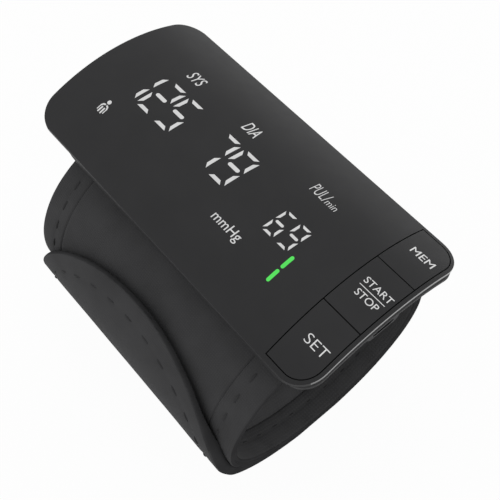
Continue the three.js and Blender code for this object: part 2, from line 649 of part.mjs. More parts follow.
// Charging port: a hollow shell with a contact tongue.
function chargingPort() {
  const pocket = portPrism(-PORT_WALL, PORT_X0 + PORT_BACK, HEAD_LENGTH);
  const middle = heightAt(PORT_DEPTH);
  const tongue = box(
    PORT_X0, PORT_X1 - PORT_TONGUE_SETBACK, -PORT_TONGUE_WIDTH / 2, PORT_TONGUE_WIDTH / 2,
    middle - PORT_TONGUE_HEIGHT / 2, middle + PORT_TONGUE_HEIGHT / 2);
  return portPrism(0, PORT_X0, PORT_X1).subtract(pocket).add(tongue);
}

addPiece('usb_port', chargingPort(), 'steel');

// Parts soldered under the board
const sensorTop = heightAt(SENSOR_DEPTH);
const sensorPort = rodAlongY(
  SPIGOT_RADIUS, SENSOR_Y1 - PART_SPACING, SENSOR_Y1 + SPIGOT_LENGTH, MANIFOLD_X, TUBE_Z);
const sensorBody = box(
  SENSOR_X0, SENSOR_X0 + SENSOR_SIZE, SENSOR_Y1 - SENSOR_SIZE, SENSOR_Y1,
  sensorTop - SENSOR_HEIGHT, sensorTop);
addPiece('pressure_sensor', sensorBody.add(sensorPort), 'black');

const BUZZER_X = SENSOR_X0 + SENSOR_SIZE + PART_SPACING + BUZZER_RADIUS;
const buzzer = rodAlongZ(BUZZER_RADIUS, sensorTop - BUZZER_HEIGHT, sensorTop, BUZZER_X, CUFF_SHIFT);
addPiece('buzzer', buzzer, 'black');

const CHIP_X0 = BUZZER_X + BUZZER_RADIUS + PART_SPACING;
const chip = box(
  CHIP_X0, CHIP_X0 + CHIP_SIZE, CUFF_SHIFT - CHIP_SIZE / 2, CUFF_SHIFT + CHIP_SIZE / 2,
  sensorTop - CHIP_HEIGHT, sensorTop);
addPiece('control_chip', chip, 'black');

const BATTERY_X1 = SENSOR_X0 - PART_SPACING;
const batteryOutline = roundedRectangle(
  BATTERY_LENGTH / 2, BATTERY_WIDTH / 2, BATTERY_CORNER,
  BATTERY_X1 - BATTERY_LENGTH / 2, CUFF_SHIFT);
const batteryTop = heightAt(BATTERY_DEPTH);
addPiece('battery', prismAlongZ(batteryOutline, batteryTop - BATTERY_THICKNESS, batteryTop), 'pouch');

// Air pump: motor, cranked shaft and diaphragm head on one axis
const socket = rodAlongX(
  SHAFT_RADIUS + CLEARANCE, MOTOR_X1 - SHAFT_SOCKET, MOTOR_X1 + OVERCUT, PUMP_Y, PUMP_Z);
const motor = rodAlongX(PUMP_RADIUS, MOTOR_X0, MOTOR_X1, PUMP_Y, PUMP_Z);
addPiece('pump_motor', motor.subtract(socket), 'steel');

const CHAMBER_X1 = PUMP_HEAD_X0 + PUMP_CHAMBER_LENGTH;
const CRANK_X0 = PUMP_HEAD_X0 + PART_SPACING;
const CRANK_X1 = CRANK_X0 + CRANK_LENGTH;
const shaft = rodAlongX(
  SHAFT_RADIUS, MOTOR_X1 - SHAFT_SOCKET + CLEARANCE, CRANK_X1, PUMP_Y, PUMP_Z);
const crank = rodAlongX(CRANK_RADIUS, CRANK_X0, CRANK_X1, PUMP_Y, PUMP_Z + CRANK_OFFSET);
addPiece('pump_shaft', shaft.add(crank), 'steel');

const chamber = rodAlongX(
  PUMP_CHAMBER_RADIUS, PUMP_HEAD_X0 - OVERCUT, CHAMBER_X1, PUMP_Y, PUMP_Z);
const pumpHead = rodAlongX(PUMP_RADIUS, PUMP_HEAD_X0, PUMP_HEAD_X1, PUMP_Y, PUMP_Z);
addPiece('pump_head', pumpHead.subtract(chamber), 'black');

// The manifold joins pump, valve and sensor, and its nozzle feeds the bladder.
function airManifold() {
  const block = box(
    MANIFOLD_X0, MANIFOLD_X1, PUMP_Y - MANIFOLD_HALF_WIDTH, PUMP_Y + MANIFOLD_HALF_WIDTH,
    PUMP_Z - MANIFOLD_HALF_WIDTH, PUMP_Z + MANIFOLD_HALF_WIDTH);
  const bladderRoom = wrapDisc(BLADDER_OUTER + CLEARANCE, -HEAD_LENGTH, HEAD_LENGTH);
  const nozzle = rodAlongZ(NOZZLE_RADIUS, CUFF_CENTRE_Z, PUMP_Z, MANIFOLD_X, PUMP_Y)
    .subtract(bladderRoom);
  const blockSide = PUMP_Y - MANIFOLD_HALF_WIDTH;
  const spigot = rodAlongY(
    SPIGOT_RADIUS, blockSide - SPIGOT_LENGTH, blockSide + PART_SPACING, MANIFOLD_X, TUBE_Z);
  return block.add(nozzle).add(spigot);
}

addPiece('air_manifold', airManifold(), 'silicone');

const TUBE_Y0 = SENSOR_Y1 + CLEARANCE;
const TUBE_Y1 = PUMP_Y - MANIFOLD_HALF_WIDTH - CLEARANCE;
const tubeBore = rodAlongY(TUBE_INNER, TUBE_Y0 - OVERCUT, TUBE_Y1 + OVERCUT, MANIFOLD_X, TUBE_Z);
const tube = rodAlongY(TUBE_OUTER, TUBE_Y0, TUBE_Y1, MANIFOLD_X, TUBE_Z);
addPiece('sensor_tube', tube.subtract(tubeBore), 'silicone');

// Release valve: a cup with a sliding plunger
const valveBore = rodAlongX(
  PLUNGER_RADIUS + CLEARANCE, VALVE_X0 + VALVE_SEAT, VALVE_X1 + OVERCUT, PUMP_Y, PUMP_Z);
const valveCup = rodAlongX(VALVE_RADIUS, VALVE_X0, VALVE_X1, PUMP_Y, PUMP_Z);
addPiece('valve_body', valveCup.subtract(valveBore), 'steel');

const PLUNGER_X0 = VALVE_X0 + VALVE_SEAT + PLUNGER_TRAVEL + CLEARANCE;
const plunger = rodAlongX(
  PLUNGER_RADIUS, PLUNGER_X0, PLUNGER_X0 + PLUNGER_LENGTH, PUMP_Y, PUMP_Z);
addPiece('valve_plunger', plunger, 'steel');

// Case screws come from below into the bosses of the front cover.
screwPlaces.forEach(({ x, y }, number) => {
  const underHead = heightAt(SHELF_DEPTH) - SOLDER_GAP;
  const tip = heightAt(SHELF_DEPTH - CASE_SHELF - CASE_SCREW_BITE);
  const head = rodAlongZ(CASE_SCREW_HEAD, underHead - CASE_SCREW_HEAD_HEIGHT, underHead, x, y);
  const shank = rodAlongZ(CASE_SCREW_SHANK, underHead - CASE_SCREW_HEAD_HEIGHT / 2, tip, x, y);
  addPiece(`case_screw_${number + 1}`, head.add(shank), 'steel');
});

// Cuff screws clamp the stay, through the shell fabric, to the rear case.
const SCREW_SEAT = CUFF_TOP + STAY_INNER + CUFF_SCREW_HEAD_HEIGHT;
cuffScrewPlaces.forEach((x, number) => {
  const tip = CUFF_TOP + CLEARANCE + CUFF_SCREW_BITE;
  const head = rodAlongZ(
    CUFF_SCREW_HEAD, SCREW_SEAT - CUFF_SCREW_HEAD_HEIGHT, SCREW_SEAT, x, CUFF_SHIFT);
  const shank = rodAlongZ(
    CUFF_SCREW_SHANK, SCREW_SEAT - CUFF_SCREW_HEAD_HEIGHT / 2, tip, x, CUFF_SHIFT);
  addPiece(`cuff_screw_${number + 1}`, head.add(shank), 'steel');
});

// The shell of the cuff: a hem folds round the lining's edge, and the wrap swells where the tail leaves it.
function lapOffset(degrees) {
  const share = Math.min((degrees - TAIL_ROOT_ANGLE) / LAP_SPREAD_ANGLE, 1);
  return TAIL_OUTER * (1 - share * share * (3 - 2 * share));
}

function shellProfile() {
  const half = [[0, 0]];
  for (let step = 0; step <= ROLL_STEPS; step += 1) {
    const turn = (QUARTER * step) / ROLL_STEPS;
    half.push([CUFF_END - HEM_ROLL * (1 - Math.sin(turn)), HEM_ROLL * (Math.cos(turn) - 1)]);
  }
  half.push([CUFF_END, HEM_INNER], [CUFF_END - HEM_FOLD, HEM_INNER]);
  half.push([CUFF_END - HEM_FOLD, -SHELL_THICKNESS], [0, -SHELL_THICKNESS]);
  return mirroredProfile(half);
}

function cuffShell() {
  const lapEnd = TAIL_ROOT_ANGLE + LAP_SPREAD_ANGLE;
  const rise = wrapArc(TAIL_ROOT_ANGLE, lapEnd, lapOffset);
  const foot = wrapArc(lapEnd, TAIL_ROOT_ANGLE, () => -SHELL_THICKNESS / 2);
  const lap = prismAlongX(
    new THREE.Shape(rise.concat(foot)), TAIL_SHIFT - TAIL_HALF_WIDTH, TAIL_SHIFT + TAIL_HALF_WIDTH);
  const floor = box(-CUFF_WIDTH, CUFF_WIDTH, -HEAD_LENGTH, HEAD_LENGTH, -HEAD_LENGTH, 0);
  let shell = wrapSweep(shellProfile()).add(lap).subtract(floor).subtract(nozzleHole);
  for (const x of cuffScrewPlaces) {
    shell = shell.subtract(rodAlongZ(CUFF_SCREW_HOLE, CUFF_CENTRE_Z, APEX, x, CUFF_SHIFT));
  }
  return shell;
}

// The lining hangs inside the bladder's pocket and rises to the shell under the hems.
function cuffLining() {
  const edge = CUFF_END - HEM_FOLD - CLEARANCE;
  return wrapSweep(mirroredProfile([
    [0, LINING_OUTER], [POCKET_SIDE, LINING_OUTER], [HEM_START, HEM_OUTER], [edge, HEM_OUTER],
    [edge, HEM_INNER], [HEM_START, HEM_INNER], [POCKET_SIDE, LINING_INNER], [0, LINING_INNER],
  ]));
}

function cuffStay() {
  let stay = wrapBand(STAY_OUTER, STAY_INNER, STAY_FROM_ANGLE, STAY_TO_ANGLE, POCKET_END);
  for (const x of cuffScrewPlaces) {
    stay = stay.subtract(rodAlongZ(CUFF_SCREW_HOLE, CUFF_CENTRE_Z, APEX, x, CUFF_SHIFT));
    stay = stay.subtract(rodAlongZ(
      CUFF_SCREW_HEAD + CLEARANCE, CUFF_CENTRE_Z, SCREW_SEAT + SOLDER_GAP, x, CUFF_SHIFT));
  }
  return stay.subtract(nozzleHole);
}

addPiece('cuff_shell', cuffShell(), 'fabric');
addPiece('cuff_stay', cuffStay(), 'stay');
addPiece(
  'air_bladder',
  wrapBand(BLADDER_OUTER, BLADDER_INNER, BLADDER_FROM_ANGLE, BLADDER_TO_ANGLE, POCKET_END), 'silicone');
addPiece('cuff_lining', cuffLining(), 'lining');

// The tail's free end is half an ellipse, and its hook patch faces the wrap.
function tailHalfWidth(distance) {
  const share = Math.max(1 - distance / TAIL_END_DEPTH, 0);
  return TAIL_HALF_WIDTH * Math.sqrt(1 - share ** 2);
}

const ROOT_GAP = CLEARANCE / (CUFF_HALF_TALL * DEGREE);
const tail = wrapSheet({
  outer: TAIL_OUTER,
  inner: TAIL_INNER,
  tip: TAIL_TIP_ANGLE,
  root: TAIL_ROOT_ANGLE - ROOT_GAP,
  rows: TAIL_ROWS,
  halfWidthAt: tailHalfWidth,
  shift: TAIL_SHIFT,
});
addPiece('cuff_tail', tail, 'fabric');
const hooks = wrapBand(HOOK_OUTER, HOOK_INNER, HOOK_FROM_ANGLE, HOOK_TO_ANGLE, HOOK_HALF_WIDTH);
addPiece('hook_patch', hooks.translate([TAIL_SHIFT, 0, 0]), 'hook');

export default monitor;
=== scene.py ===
# %% [markdown]
# # A wrist blood pressure monitor
# The object is a slim arched head, with three keys at one end, on a closed fabric cuff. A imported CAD
# frame already holds its pieces and its joints. This lesson dresses that frame: each step makes one
# piece or one finish, at the frame's own size and place, and says why it is made that way.

# %% Load the frame
import math

import bmesh
import bpy
from mathutils import Matrix, Vector, noise


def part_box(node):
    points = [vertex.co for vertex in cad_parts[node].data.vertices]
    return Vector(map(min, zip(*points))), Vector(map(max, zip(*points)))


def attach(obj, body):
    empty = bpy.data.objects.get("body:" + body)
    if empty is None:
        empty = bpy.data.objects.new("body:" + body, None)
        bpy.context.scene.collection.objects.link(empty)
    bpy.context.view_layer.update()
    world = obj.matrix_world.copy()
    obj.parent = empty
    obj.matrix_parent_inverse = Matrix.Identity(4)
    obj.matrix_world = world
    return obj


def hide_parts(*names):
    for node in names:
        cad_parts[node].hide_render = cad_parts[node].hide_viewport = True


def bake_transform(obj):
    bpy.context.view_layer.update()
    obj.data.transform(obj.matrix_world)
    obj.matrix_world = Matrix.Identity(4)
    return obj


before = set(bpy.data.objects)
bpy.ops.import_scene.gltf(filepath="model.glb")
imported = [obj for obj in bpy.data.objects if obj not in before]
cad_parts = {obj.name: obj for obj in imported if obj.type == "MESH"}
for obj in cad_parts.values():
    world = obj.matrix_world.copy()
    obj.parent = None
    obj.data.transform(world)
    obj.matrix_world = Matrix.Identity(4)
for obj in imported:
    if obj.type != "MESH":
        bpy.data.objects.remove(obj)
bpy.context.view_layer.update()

# %% [markdown]
# ## Sizes and small helpers
# The shapes are written in millimetres, as such a product is drawn, and scaled to metres once, when a
# piece is finished. Whatever the frame can tell is read from its boxes, so the few sizes written here
# are those that a box can't show, such as the radius of the arched top.

# %% Sizes read from the frame
MM = 0.001


def node_box(name):
    """A CAD node's lowest and highest corner, in millimetres."""
    low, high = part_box(name)
    return low / MM, high / MM


LINING_LOW, LINING_HIGH = node_box("cuff_lining")
HEAD_END, HEAD_SIDE, APEX = node_box("front_cover")[1]
CUFF_END = -node_box("cuff_shell")[0].x
CUFF_MIDDLE = (LINING_LOW + LINING_HIGH) / 2
CUFF_ACROSS = 30.5
CUFF_TALL = 27.6
ARCH_RADIUS = 45.7
HEAD_CORNER = 6.4
FAR_CORNER = 5.6
print(f"head {2 * HEAD_END:.1f} x {2 * HEAD_SIDE:.1f} mm, cuff {2 * CUFF_END:.1f} mm wide")


# %% Helpers for finished pieces
def arch_height(y, depth=0.0):
    """Height of the arched top, or of a face that lies below it, at a place across the head."""
    return APEX - ARCH_RADIUS + math.sqrt((ARCH_RADIUS - depth) ** 2 - y * y)


def link(name, data):
    """Puts a mesh, lamp or camera into the scene."""
    obj = bpy.data.objects.new(name, data)
    bpy.context.scene.collection.objects.link(obj)
    return obj


def evaluated_mesh(obj):
    """The object's mesh with its modifiers applied."""
    graph = bpy.context.evaluated_depsgraph_get()
    return bpy.data.meshes.new_from_object(obj.evaluated_get(graph))


CREASE = 35
WELD = 0.002


def add_piece(name, mesh, material, body=None, replaced=(), crease=CREASE):
    """Finishes a mesh in metres: smooth faces, sharp creases, one material, and the body it rides on."""
    mesh.name = name
    mesh.materials.clear()
    mesh.materials.append(material)
    mesh.polygons.foreach_set("use_smooth", [True] * len(mesh.polygons))
    mesh.set_sharp_from_angle(angle=math.radians(crease))
    obj = link(name, mesh)
    if body:
        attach(obj, body)
    if replaced:
        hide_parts(*replaced)
    print(f"{name}: {len(mesh.polygons)} faces")
    return obj


def plain_mesh(bm, name="piece"):
    """Turns a bmesh into a mesh, as it is."""
    mesh = bpy.data.meshes.new(name)
    bm.to_mesh(mesh)
    bm.free()
    return mesh


def metre_mesh(bm, weld=WELD):
    """Turns a millimetre bmesh into a mesh in metres, welded, with its faces pointing out."""
    bmesh.ops.remove_doubles(bm, verts=bm.verts, dist=weld)
    bmesh.ops.recalc_face_normals(bm, faces=bm.faces)
    mesh = plain_mesh(bm)
    mesh.transform(Matrix.Scale(MM, 4))
    return mesh


print(f"the arch drops {APEX - arch_height(HEAD_SIDE):.2f} mm towards the head's sides")

# %% [markdown]
# ## Camera
# The camera stands where the photograph was taken from: above the key end, looking down at about 59
# degrees. Its place and lens were solved from the straight edges of the head, so it is simply set.

# %% Camera
CAMERA_PLACE = Vector((81.31, -67.47, 208.09)) * MM
CAMERA_TURN = (31.1237, -0.3422, 49.5536)
CAMERA_LENS = 59.786
CAMERA_SENSOR = 36.0
NEAR_CLIP = 0.01

camera_data = bpy.data.cameras.new("camera")
camera_data.lens = CAMERA_LENS
camera_data.sensor_fit = "HORIZONTAL"
camera_data.sensor_width = CAMERA_SENSOR
camera_data.clip_start = NEAR_CLIP
camera = link("camera", camera_data)
camera.location = CAMERA_PLACE
camera.rotation_euler = [math.radians(angle) for angle in CAMERA_TURN]
bpy.context.scene.camera = camera
print("camera at", [round(value, 4) for value in CAMERA_PLACE])

# %% [markdown]
# ## Studio
# A plain white sweep and soft boxes. The floor and the world show white to the camera, to glossy rays
# and to rays through clear things. To all other rays the world is a soft light of a plain level, and a
# share of the floor stays diffuse, so the object keeps its shadow.

# %% White world and floor
WORLD_LIGHT = 0.74
FLOOR_SIZE = 3.0
FLOOR_DROP = 0.0002
FLOOR_WHITE = (0.8, 0.8, 0.8, 1.0)
WHITE = (1, 1, 1, 1)
FLOOR_SHADE_SHARE = 0.04


def add_node(tree, kind, links=None, values=None, **options):
    """Adds a node to a tree: its options first, then the values of its inputs and the links to them."""
    node = tree.nodes.new(kind)
    for name, value in options.items():
        setattr(node, name, value)
    for socket, value in (values or {}).items():
        node.inputs[socket].default_value = value
    for socket, source in (links or {}).items():
        tree.links.new(source, node.inputs[socket])
    return node


def background_rays(tree):
    """A factor that is 1 for camera, glossy and transmission rays."""
    path = add_node(tree, "ShaderNodeLightPath")
    result = path.outputs["Is Camera Ray"]
    for name in ("Is Glossy Ray", "Is Transmission Ray"):
        larger = add_node(tree, "ShaderNodeMath", {0: result, 1: path.outputs[name]}, operation="MAXIMUM")
        result = larger.outputs[0]
    return result


def end_in_mix(tree, output, factor, first, second):
    """Mixes two shaders by a factor and ends the tree."""
    mix = add_node(tree, "ShaderNodeMixShader", {0: factor, 1: first.outputs[0], 2: second.outputs[0]})
    add_node(tree, output, {"Surface": mix.outputs[0]})


def empty_tree(data):
    """The node tree of a world or a material, without the nodes it starts with."""
    data.use_nodes = True
    data.node_tree.nodes.clear()
    return data.node_tree


def white_world():
    world = bpy.data.worlds.new("white studio")
    tree = empty_tree(world)
    soft = add_node(tree, "ShaderNodeBackground", values={"Color": WHITE, "Strength": WORLD_LIGHT})
    white = add_node(tree, "ShaderNodeBackground", values={"Color": WHITE})
    end_in_mix(tree, "ShaderNodeOutputWorld", background_rays(tree), soft, white)
    bpy.context.scene.world = world


def floor_finish():
    material = bpy.data.materials.new("white floor")
    tree = empty_tree(material)
    paint = add_node(tree, "ShaderNodeBsdfDiffuse", values={"Color": FLOOR_WHITE})
    glow = add_node(tree, "ShaderNodeEmission")
    share = add_node(tree, "ShaderNodeMath", {0: background_rays(tree)}, {1: 1 - FLOOR_SHADE_SHARE},
                     operation="MULTIPLY")
    end_in_mix(tree, "ShaderNodeOutputMaterial", share.outputs[0], paint, glow)
    return material


def white_floor():
    bm = bmesh.new()
    bmesh.ops.create_grid(bm, x_segments=1, y_segments=1, size=FLOOR_SIZE / 2)
    mesh = plain_mesh(bm, "floor")
    mesh.materials.append(floor_finish())
    floor = link("floor", mesh)
    floor.location.z = -FLOOR_DROP


white_world()
white_floor()
bpy.context.scene.view_settings.view_transform = "Standard"
print("white world, and a floor of", FLOOR_SIZE, "m")

# %% Soft boxes
SOFT_BOXES = {
    "top_box": {"place": (-0.25, 0.05, 0.75), "size": (0.6, 0.6), "power": 0.8},
    "far_side_box": {"place": (-0.15, 0.60, 0.14), "size": (0.7, 0.25), "power": 0.55},
    "tail_side_box": {"place": (-0.40, -0.50, 0.30), "size": (0.6, 0.5), "power": 0.4},
}
LIGHT_TARGET = Vector((0, 0, APEX * MM))


def soft_box(name, place, size, power):
    data = bpy.data.lights.new(name, "AREA")
    data.shape = "RECTANGLE"
    data.size, data.size_y = size
    data.energy = power
    lamp = link(name, data)
    lamp.location = place
    lamp.rotation_euler = (LIGHT_TARGET - lamp.location).to_track_quat("-Z", "Y").to_euler()
    lamp.visible_camera = False


for box_name, settings in SOFT_BOXES.items():
    soft_box(box_name, **settings)
print("soft boxes:", ", ".join(SOFT_BOXES))

# %% [markdown]
# ## Finishes
# Each finish is a small node tree around one shader. Moulded plastic has a fine eroded grain and a faint
# mottle, cloth has a weave that follows the piece's own UV map (laid in metres), and lit marks glow. The
# patterns read object coordinates or that UV map, so they stay put when a body moves.


# %% Helpers for finishes
SCREEN_KNEE, SCREEN_SLOPE, SCREEN_OFFSET, SCREEN_POWER = 0.04045, 12.92, 0.055, 2.4


def srgb(red, green, blue):
    """A colour as it is seen on a screen, from 0 to 255, turned into the linear colour that nodes use."""
    values = []
    for value in (red, green, blue):
        share = value / 255
        bent = ((share + SCREEN_OFFSET) / (1 + SCREEN_OFFSET)) ** SCREEN_POWER
        values.append(share / SCREEN_SLOPE if share <= SCREEN_KNEE else bent)
    return (*values, 1.0)


def dark(level):
    """A dark grey with a trace of blue, as black plastic and cloth have under a white sky."""
    return srgb(level, level, level + 1)


def new_finish(name, roughness, specular=0.5, metallic=0.0):
    material = bpy.data.materials.new(name)
    material.use_nodes = True
    shader = material.node_tree.nodes["Principled BSDF"]
    shader.inputs["Roughness"].default_value = roughness
    shader.inputs["Specular IOR Level"].default_value = specular
    shader.inputs["Metallic"].default_value = metallic
    return material, shader


def lumps(material, size, detail=2.0, stretch=(1, 1, 1)):
    """A noise whose lumps measure about so many millimetres, stretched along the axes."""
    tree = material.node_tree
    place = add_node(tree, "ShaderNodeTexCoord")
    scale = [1 / (size * MM * share) for share in stretch]
    mapping = add_node(tree, "ShaderNodeMapping", {"Vector": place.outputs["Object"]}, {"Scale": scale})
    pattern = add_node(tree, "ShaderNodeTexNoise", {"Vector": mapping.outputs["Vector"]},
                       {"Scale": 1.0, "Detail": detail})
    return pattern.outputs[0]


TINT_RANGE = (0.3, 0.7)


def tint(material, shader, pattern, low, high):
    """Paints the pattern's low places in one colour and its high places in another."""
    tree = material.node_tree
    ramp = add_node(tree, "ShaderNodeValToRGB", {"Fac": pattern})
    for element, position, colour in zip(ramp.color_ramp.elements, TINT_RANGE, (low, high)):
        element.position = position
        element.color = colour
    tree.links.new(ramp.outputs["Color"], shader.inputs["Base Color"])


def vary_roughness(material, shader, pattern, low, high):
    tree = material.node_tree
    spread = add_node(tree, "ShaderNodeMapRange", {"Value": pattern}, {"To Min": low, "To Max": high})
    tree.links.new(spread.outputs["Result"], shader.inputs["Roughness"])


def raise_grain(material, shader, pattern, depth):
    """Raises the pattern by a depth in millimetres."""
    tree = material.node_tree
    bump = add_node(tree, "ShaderNodeBump", {"Height": pattern}, {"Distance": depth * MM})
    tree.links.new(bump.outputs["Normal"], shader.inputs["Normal"])


print("white on the screen is", srgb(255, 255, 255), "to the nodes")

# %% Moulded plastic, metal and rubber
GLOSS_SPREAD = 0.05
GLOSS_MOTTLE = 3
GRAIN_DETAIL = 3
MARK_WIDTH, MARK_DEPTH = 0.12, 0.002
MARK_STRETCH = (40, 1, 1)
MARK_SHADES = (0.85, 1.1)
MARK_GLOSS_SPREAD = 0.08


def shade(colour, share):
    """A colour made darker or lighter by a share."""
    return (*(value * share for value in colour[:3]), 1.0)


def moulded(name, colour, roughness, specular=0.5, grain=0.35, depth=0.006, mottle=9.0, spread=0.06):
    """Moulded plastic: a faint mottle in its colour and gloss, and an eroded grain."""
    material, shader = new_finish(name, roughness, specular)
    tint(material, shader, lumps(material, mottle), shade(colour, 1 - spread), shade(colour, 1 + spread))
    gloss = lumps(material, mottle / GLOSS_MOTTLE)
    vary_roughness(material, shader, gloss, roughness - GLOSS_SPREAD, roughness + GLOSS_SPREAD)
    raise_grain(material, shader, lumps(material, grain, GRAIN_DETAIL), depth)
    return material


def drawn_metal(name, colour, roughness):
    """Drawn or rolled metal, with fine marks along X."""
    material, shader = new_finish(name, roughness, metallic=1.0)
    marks = lumps(material, MARK_WIDTH, stretch=MARK_STRETCH)
    tint(material, shader, marks, *(shade(colour, share) for share in MARK_SHADES))
    vary_roughness(material, shader, marks, roughness - MARK_GLOSS_SPREAD, roughness + MARK_GLOSS_SPREAD)
    raise_grain(material, shader, marks, MARK_DEPTH)
    return material


COVER = moulded("satin cover", dark(39), 0.5, specular=0.16)
COVER_WALL = moulded("glossy cover wall", dark(38), 0.14, specular=1.0, grain=0.6, depth=0.001)
COVER_BAND = moulded("satin cover band", dark(40), 0.5, specular=0.08)
KEY = moulded("satin key", dark(40), 0.5, specular=0.16)
REAR = moulded("rear case plastic", dark(48), 0.55, specular=0.1, grain=0.5)
BLACK = moulded("black plastic", dark(24), 0.5, specular=0.3)
DIFFUSER = moulded("milky diffuser", srgb(228, 228, 224), 0.5)
SILICONE = moulded("silicone", srgb(205, 203, 196), 0.6, grain=0.8)
STAY = moulded("stay plastic", srgb(210, 210, 205), 0.5)
STEEL = drawn_metal("steel", srgb(178, 180, 184), 0.32)
PORT_BLACK = moulded("blackened port shell", srgb(62, 62, 64), 0.6, specular=0.1)
POUCH = drawn_metal("battery pouch", srgb(160, 163, 168), 0.42)
print("plastics and metals made")


# %% [markdown]
# The cloth of the cuff is a close weave with a dull, slightly hairy face. Two bands of waves, one along
# the cloth and one across it, multiply into the small squares of a plain weave. The thread of the
# stitches is a little darker than the cloth, the lining is a looser knit, and the faces at the edges get a
# slightly darker, dull cloth without sheen, as painted shade where they turn away from the light.

# %% Cloth, thread and hooks
WAVE_FACTOR, WAVE_WANDER = 20.0, 0.4
WEAVE_SHARE = 0.35
BLOTCH_SIZE, BLOTCH_DETAIL = 6.0, 4
CLOTH_SHADES = (0.86, 1.1)
CLOTH_ROUGHNESS, CLOTH_ROUGHNESS_RANGE = 0.9, (0.82, 0.96)
FUZZ_SIZE = 3.0
SHEEN_ROUGHNESS = 0.5


def thread_bands(material, pitch, direction):
    """Waves along one direction of the cloth's UV map, one for each thread."""
    tree = material.node_tree
    place = add_node(tree, "ShaderNodeTexCoord")
    values = {"Scale": 2 * math.pi / (WAVE_FACTOR * pitch * MM), "Distortion": WAVE_WANDER}
    wave = add_node(tree, "ShaderNodeTexWave", {"Vector": place.outputs["UV"]}, values,
                    bands_direction=direction)
    return wave.outputs["Fac"]


def woven(name, colour, pitch, depth, sheen, specular=0.12):
    """Plain weave: crossing threads, a blotchy colour and a dull sheen."""
    material, shader = new_finish(name, CLOTH_ROUGHNESS, specular)
    tree = material.node_tree
    bands = {number: thread_bands(material, pitch, axis) for number, axis in enumerate("XY")}
    cross = add_node(tree, "ShaderNodeMath", bands, operation="MULTIPLY").outputs[0]
    blotch = add_node(tree, "ShaderNodeMath", {0: cross, 2: lumps(material, BLOTCH_SIZE, BLOTCH_DETAIL)},
                      {1: WEAVE_SHARE}, operation="MULTIPLY_ADD")
    tint(material, shader, blotch.outputs[0], *(shade(colour, share) for share in CLOTH_SHADES))
    vary_roughness(material, shader, lumps(material, FUZZ_SIZE), *CLOTH_ROUGHNESS_RANGE)
    raise_grain(material, shader, cross, depth)
    shader.inputs["Sheen Weight"].default_value = sheen
    shader.inputs["Sheen Roughness"].default_value = SHEEN_ROUGHNESS
    return material


FABRIC = woven("cuff fabric", dark(60), 0.55, 0.03, 0.03)
# The lining is written lighter than the outer cloth: its own dark knit with painted light, which lifts the
# shaded inside of the cuff.
LINING = woven("lining knit", dark(73), 0.8, 0.025, 0.02)
# A slightly darker cloth with no gloss or sheen: painted shade for the edge faces that turn away from the
# light.
EDGE_SHADE_CLOTH = woven("shaded edge cloth", dark(57), 0.55, 0.03, 0.0, specular=0.0)
THREAD = moulded("sewing thread", dark(51), 0.8, specular=0.2, grain=0.15, depth=0.02)
HOOK = moulded("hook tape", dark(24), 0.7, specular=0.3)
print("cloth made")


# %% Marks that glow or are printed
GLOW_ROUGHNESS, GLOW_SPECULAR = 0.5, 0.1
GLOW_SIZE, GLOW_DIP = 2.5, 0.9


def glowing(name, colour, glow):
    """A lit mark behind the cover: it glows a little unevenly, as a light guide does."""
    material, shader = new_finish(name, GLOW_ROUGHNESS, GLOW_SPECULAR)
    tint(material, shader, lumps(material, GLOW_SIZE), shade(colour, GLOW_DIP), colour)
    shader.inputs["Emission Color"].default_value = colour
    shader.inputs["Emission Strength"].default_value = glow
    return material


LIT_WHITE = glowing("lit white", srgb(190, 190, 190), 0.4)
LIT_GREEN = glowing("lit green", srgb(80, 205, 86), 0.38)
PRINT = moulded("white print", srgb(226, 226, 226), 0.55, specular=0.1)
print("marks made")

# %% [markdown]
# ## Front cover
# The cover is one moulded panel, bent to a gentle arch across its width. A fine groove parts it from a
# lower band that lies flush with it. It is lofted: a rounded rectangle is drawn for each height of its
# wall, every point is lowered onto the arch, and neighbouring outlines are skinned. A mould's insert
# forms the key opening, so a boolean cuts it here. The wall at the key end is glossy and mirrors the
# pale floor.

# %% Loft of rounded rectangles
CORNER_STEPS = 12
END_STEPS = 40


def arc(x, y, radius, start, sweep, steps):
    """Points on an arc, from a start angle through a sweep, both in degrees and anticlockwise."""
    turns = [math.radians(start + sweep * step / steps) for step in range(steps + 1)]
    return [(x + radius * math.cos(turn), y + radius * math.sin(turn)) for turn in turns]


def circle(x, y, radius, sides):
    return arc(x, y, radius, 0, 360, sides)[:-1]


def corner_arc(x, y, radius, start):
    return arc(x, y, radius, start, 90, CORNER_STEPS)


def end_chain(half_length, half_width, corner):
    """The outline of one end, from the negative Y side to the positive one."""
    x, y = half_length - corner, half_width - corner
    chain = corner_arc(x, -y, corner, -90)
    chain += [(half_length, -y + 2 * y * step / END_STEPS) for step in range(1, END_STEPS)]
    return chain + corner_arc(x, y, corner, 0)


def level(end, side, corner, depth, share=1.0, far=None):
    """A rounded rectangle at a depth. Its far end and corner are those of its key end unless given."""
    return {"key": (end, corner), "far": far or (end, corner), "side": side, "depth": depth, "share": share}


def level_outline(item):
    (key_end, key_corner), (far_end, far_corner) = item["key"], item["far"]
    far_chain = end_chain(far_end, item["side"], far_corner)
    return end_chain(key_end, item["side"], key_corner) + [(-x, y) for x, y in reversed(far_chain)]


def lofted(levels):
    """A closed body through levels, top first. A level follows the arch by its share."""
    bm = bmesh.new()
    rings = []
    for item in levels:
        ring = []
        for x, y in level_outline(item):
            drop = item["depth"] + item["share"] * (APEX - arch_height(y))
            ring.append(bm.verts.new((x, y, APEX - drop)))
        rings.append(ring)
    count = len(rings[0])
    for upper, lower in zip(rings, rings[1:]):
        for i in range(count):
            j = (i + 1) % count
            bm.faces.new((upper[i], lower[i], lower[j], upper[j]))
    for ring in (rings[0], rings[-1]):
        for i in range(count // 2 - 1):
            bm.faces.new((ring[i], ring[i + 1], ring[count - 2 - i], ring[count - 1 - i]))
    bmesh.ops.recalc_face_normals(bm, faces=bm.faces)
    return bm


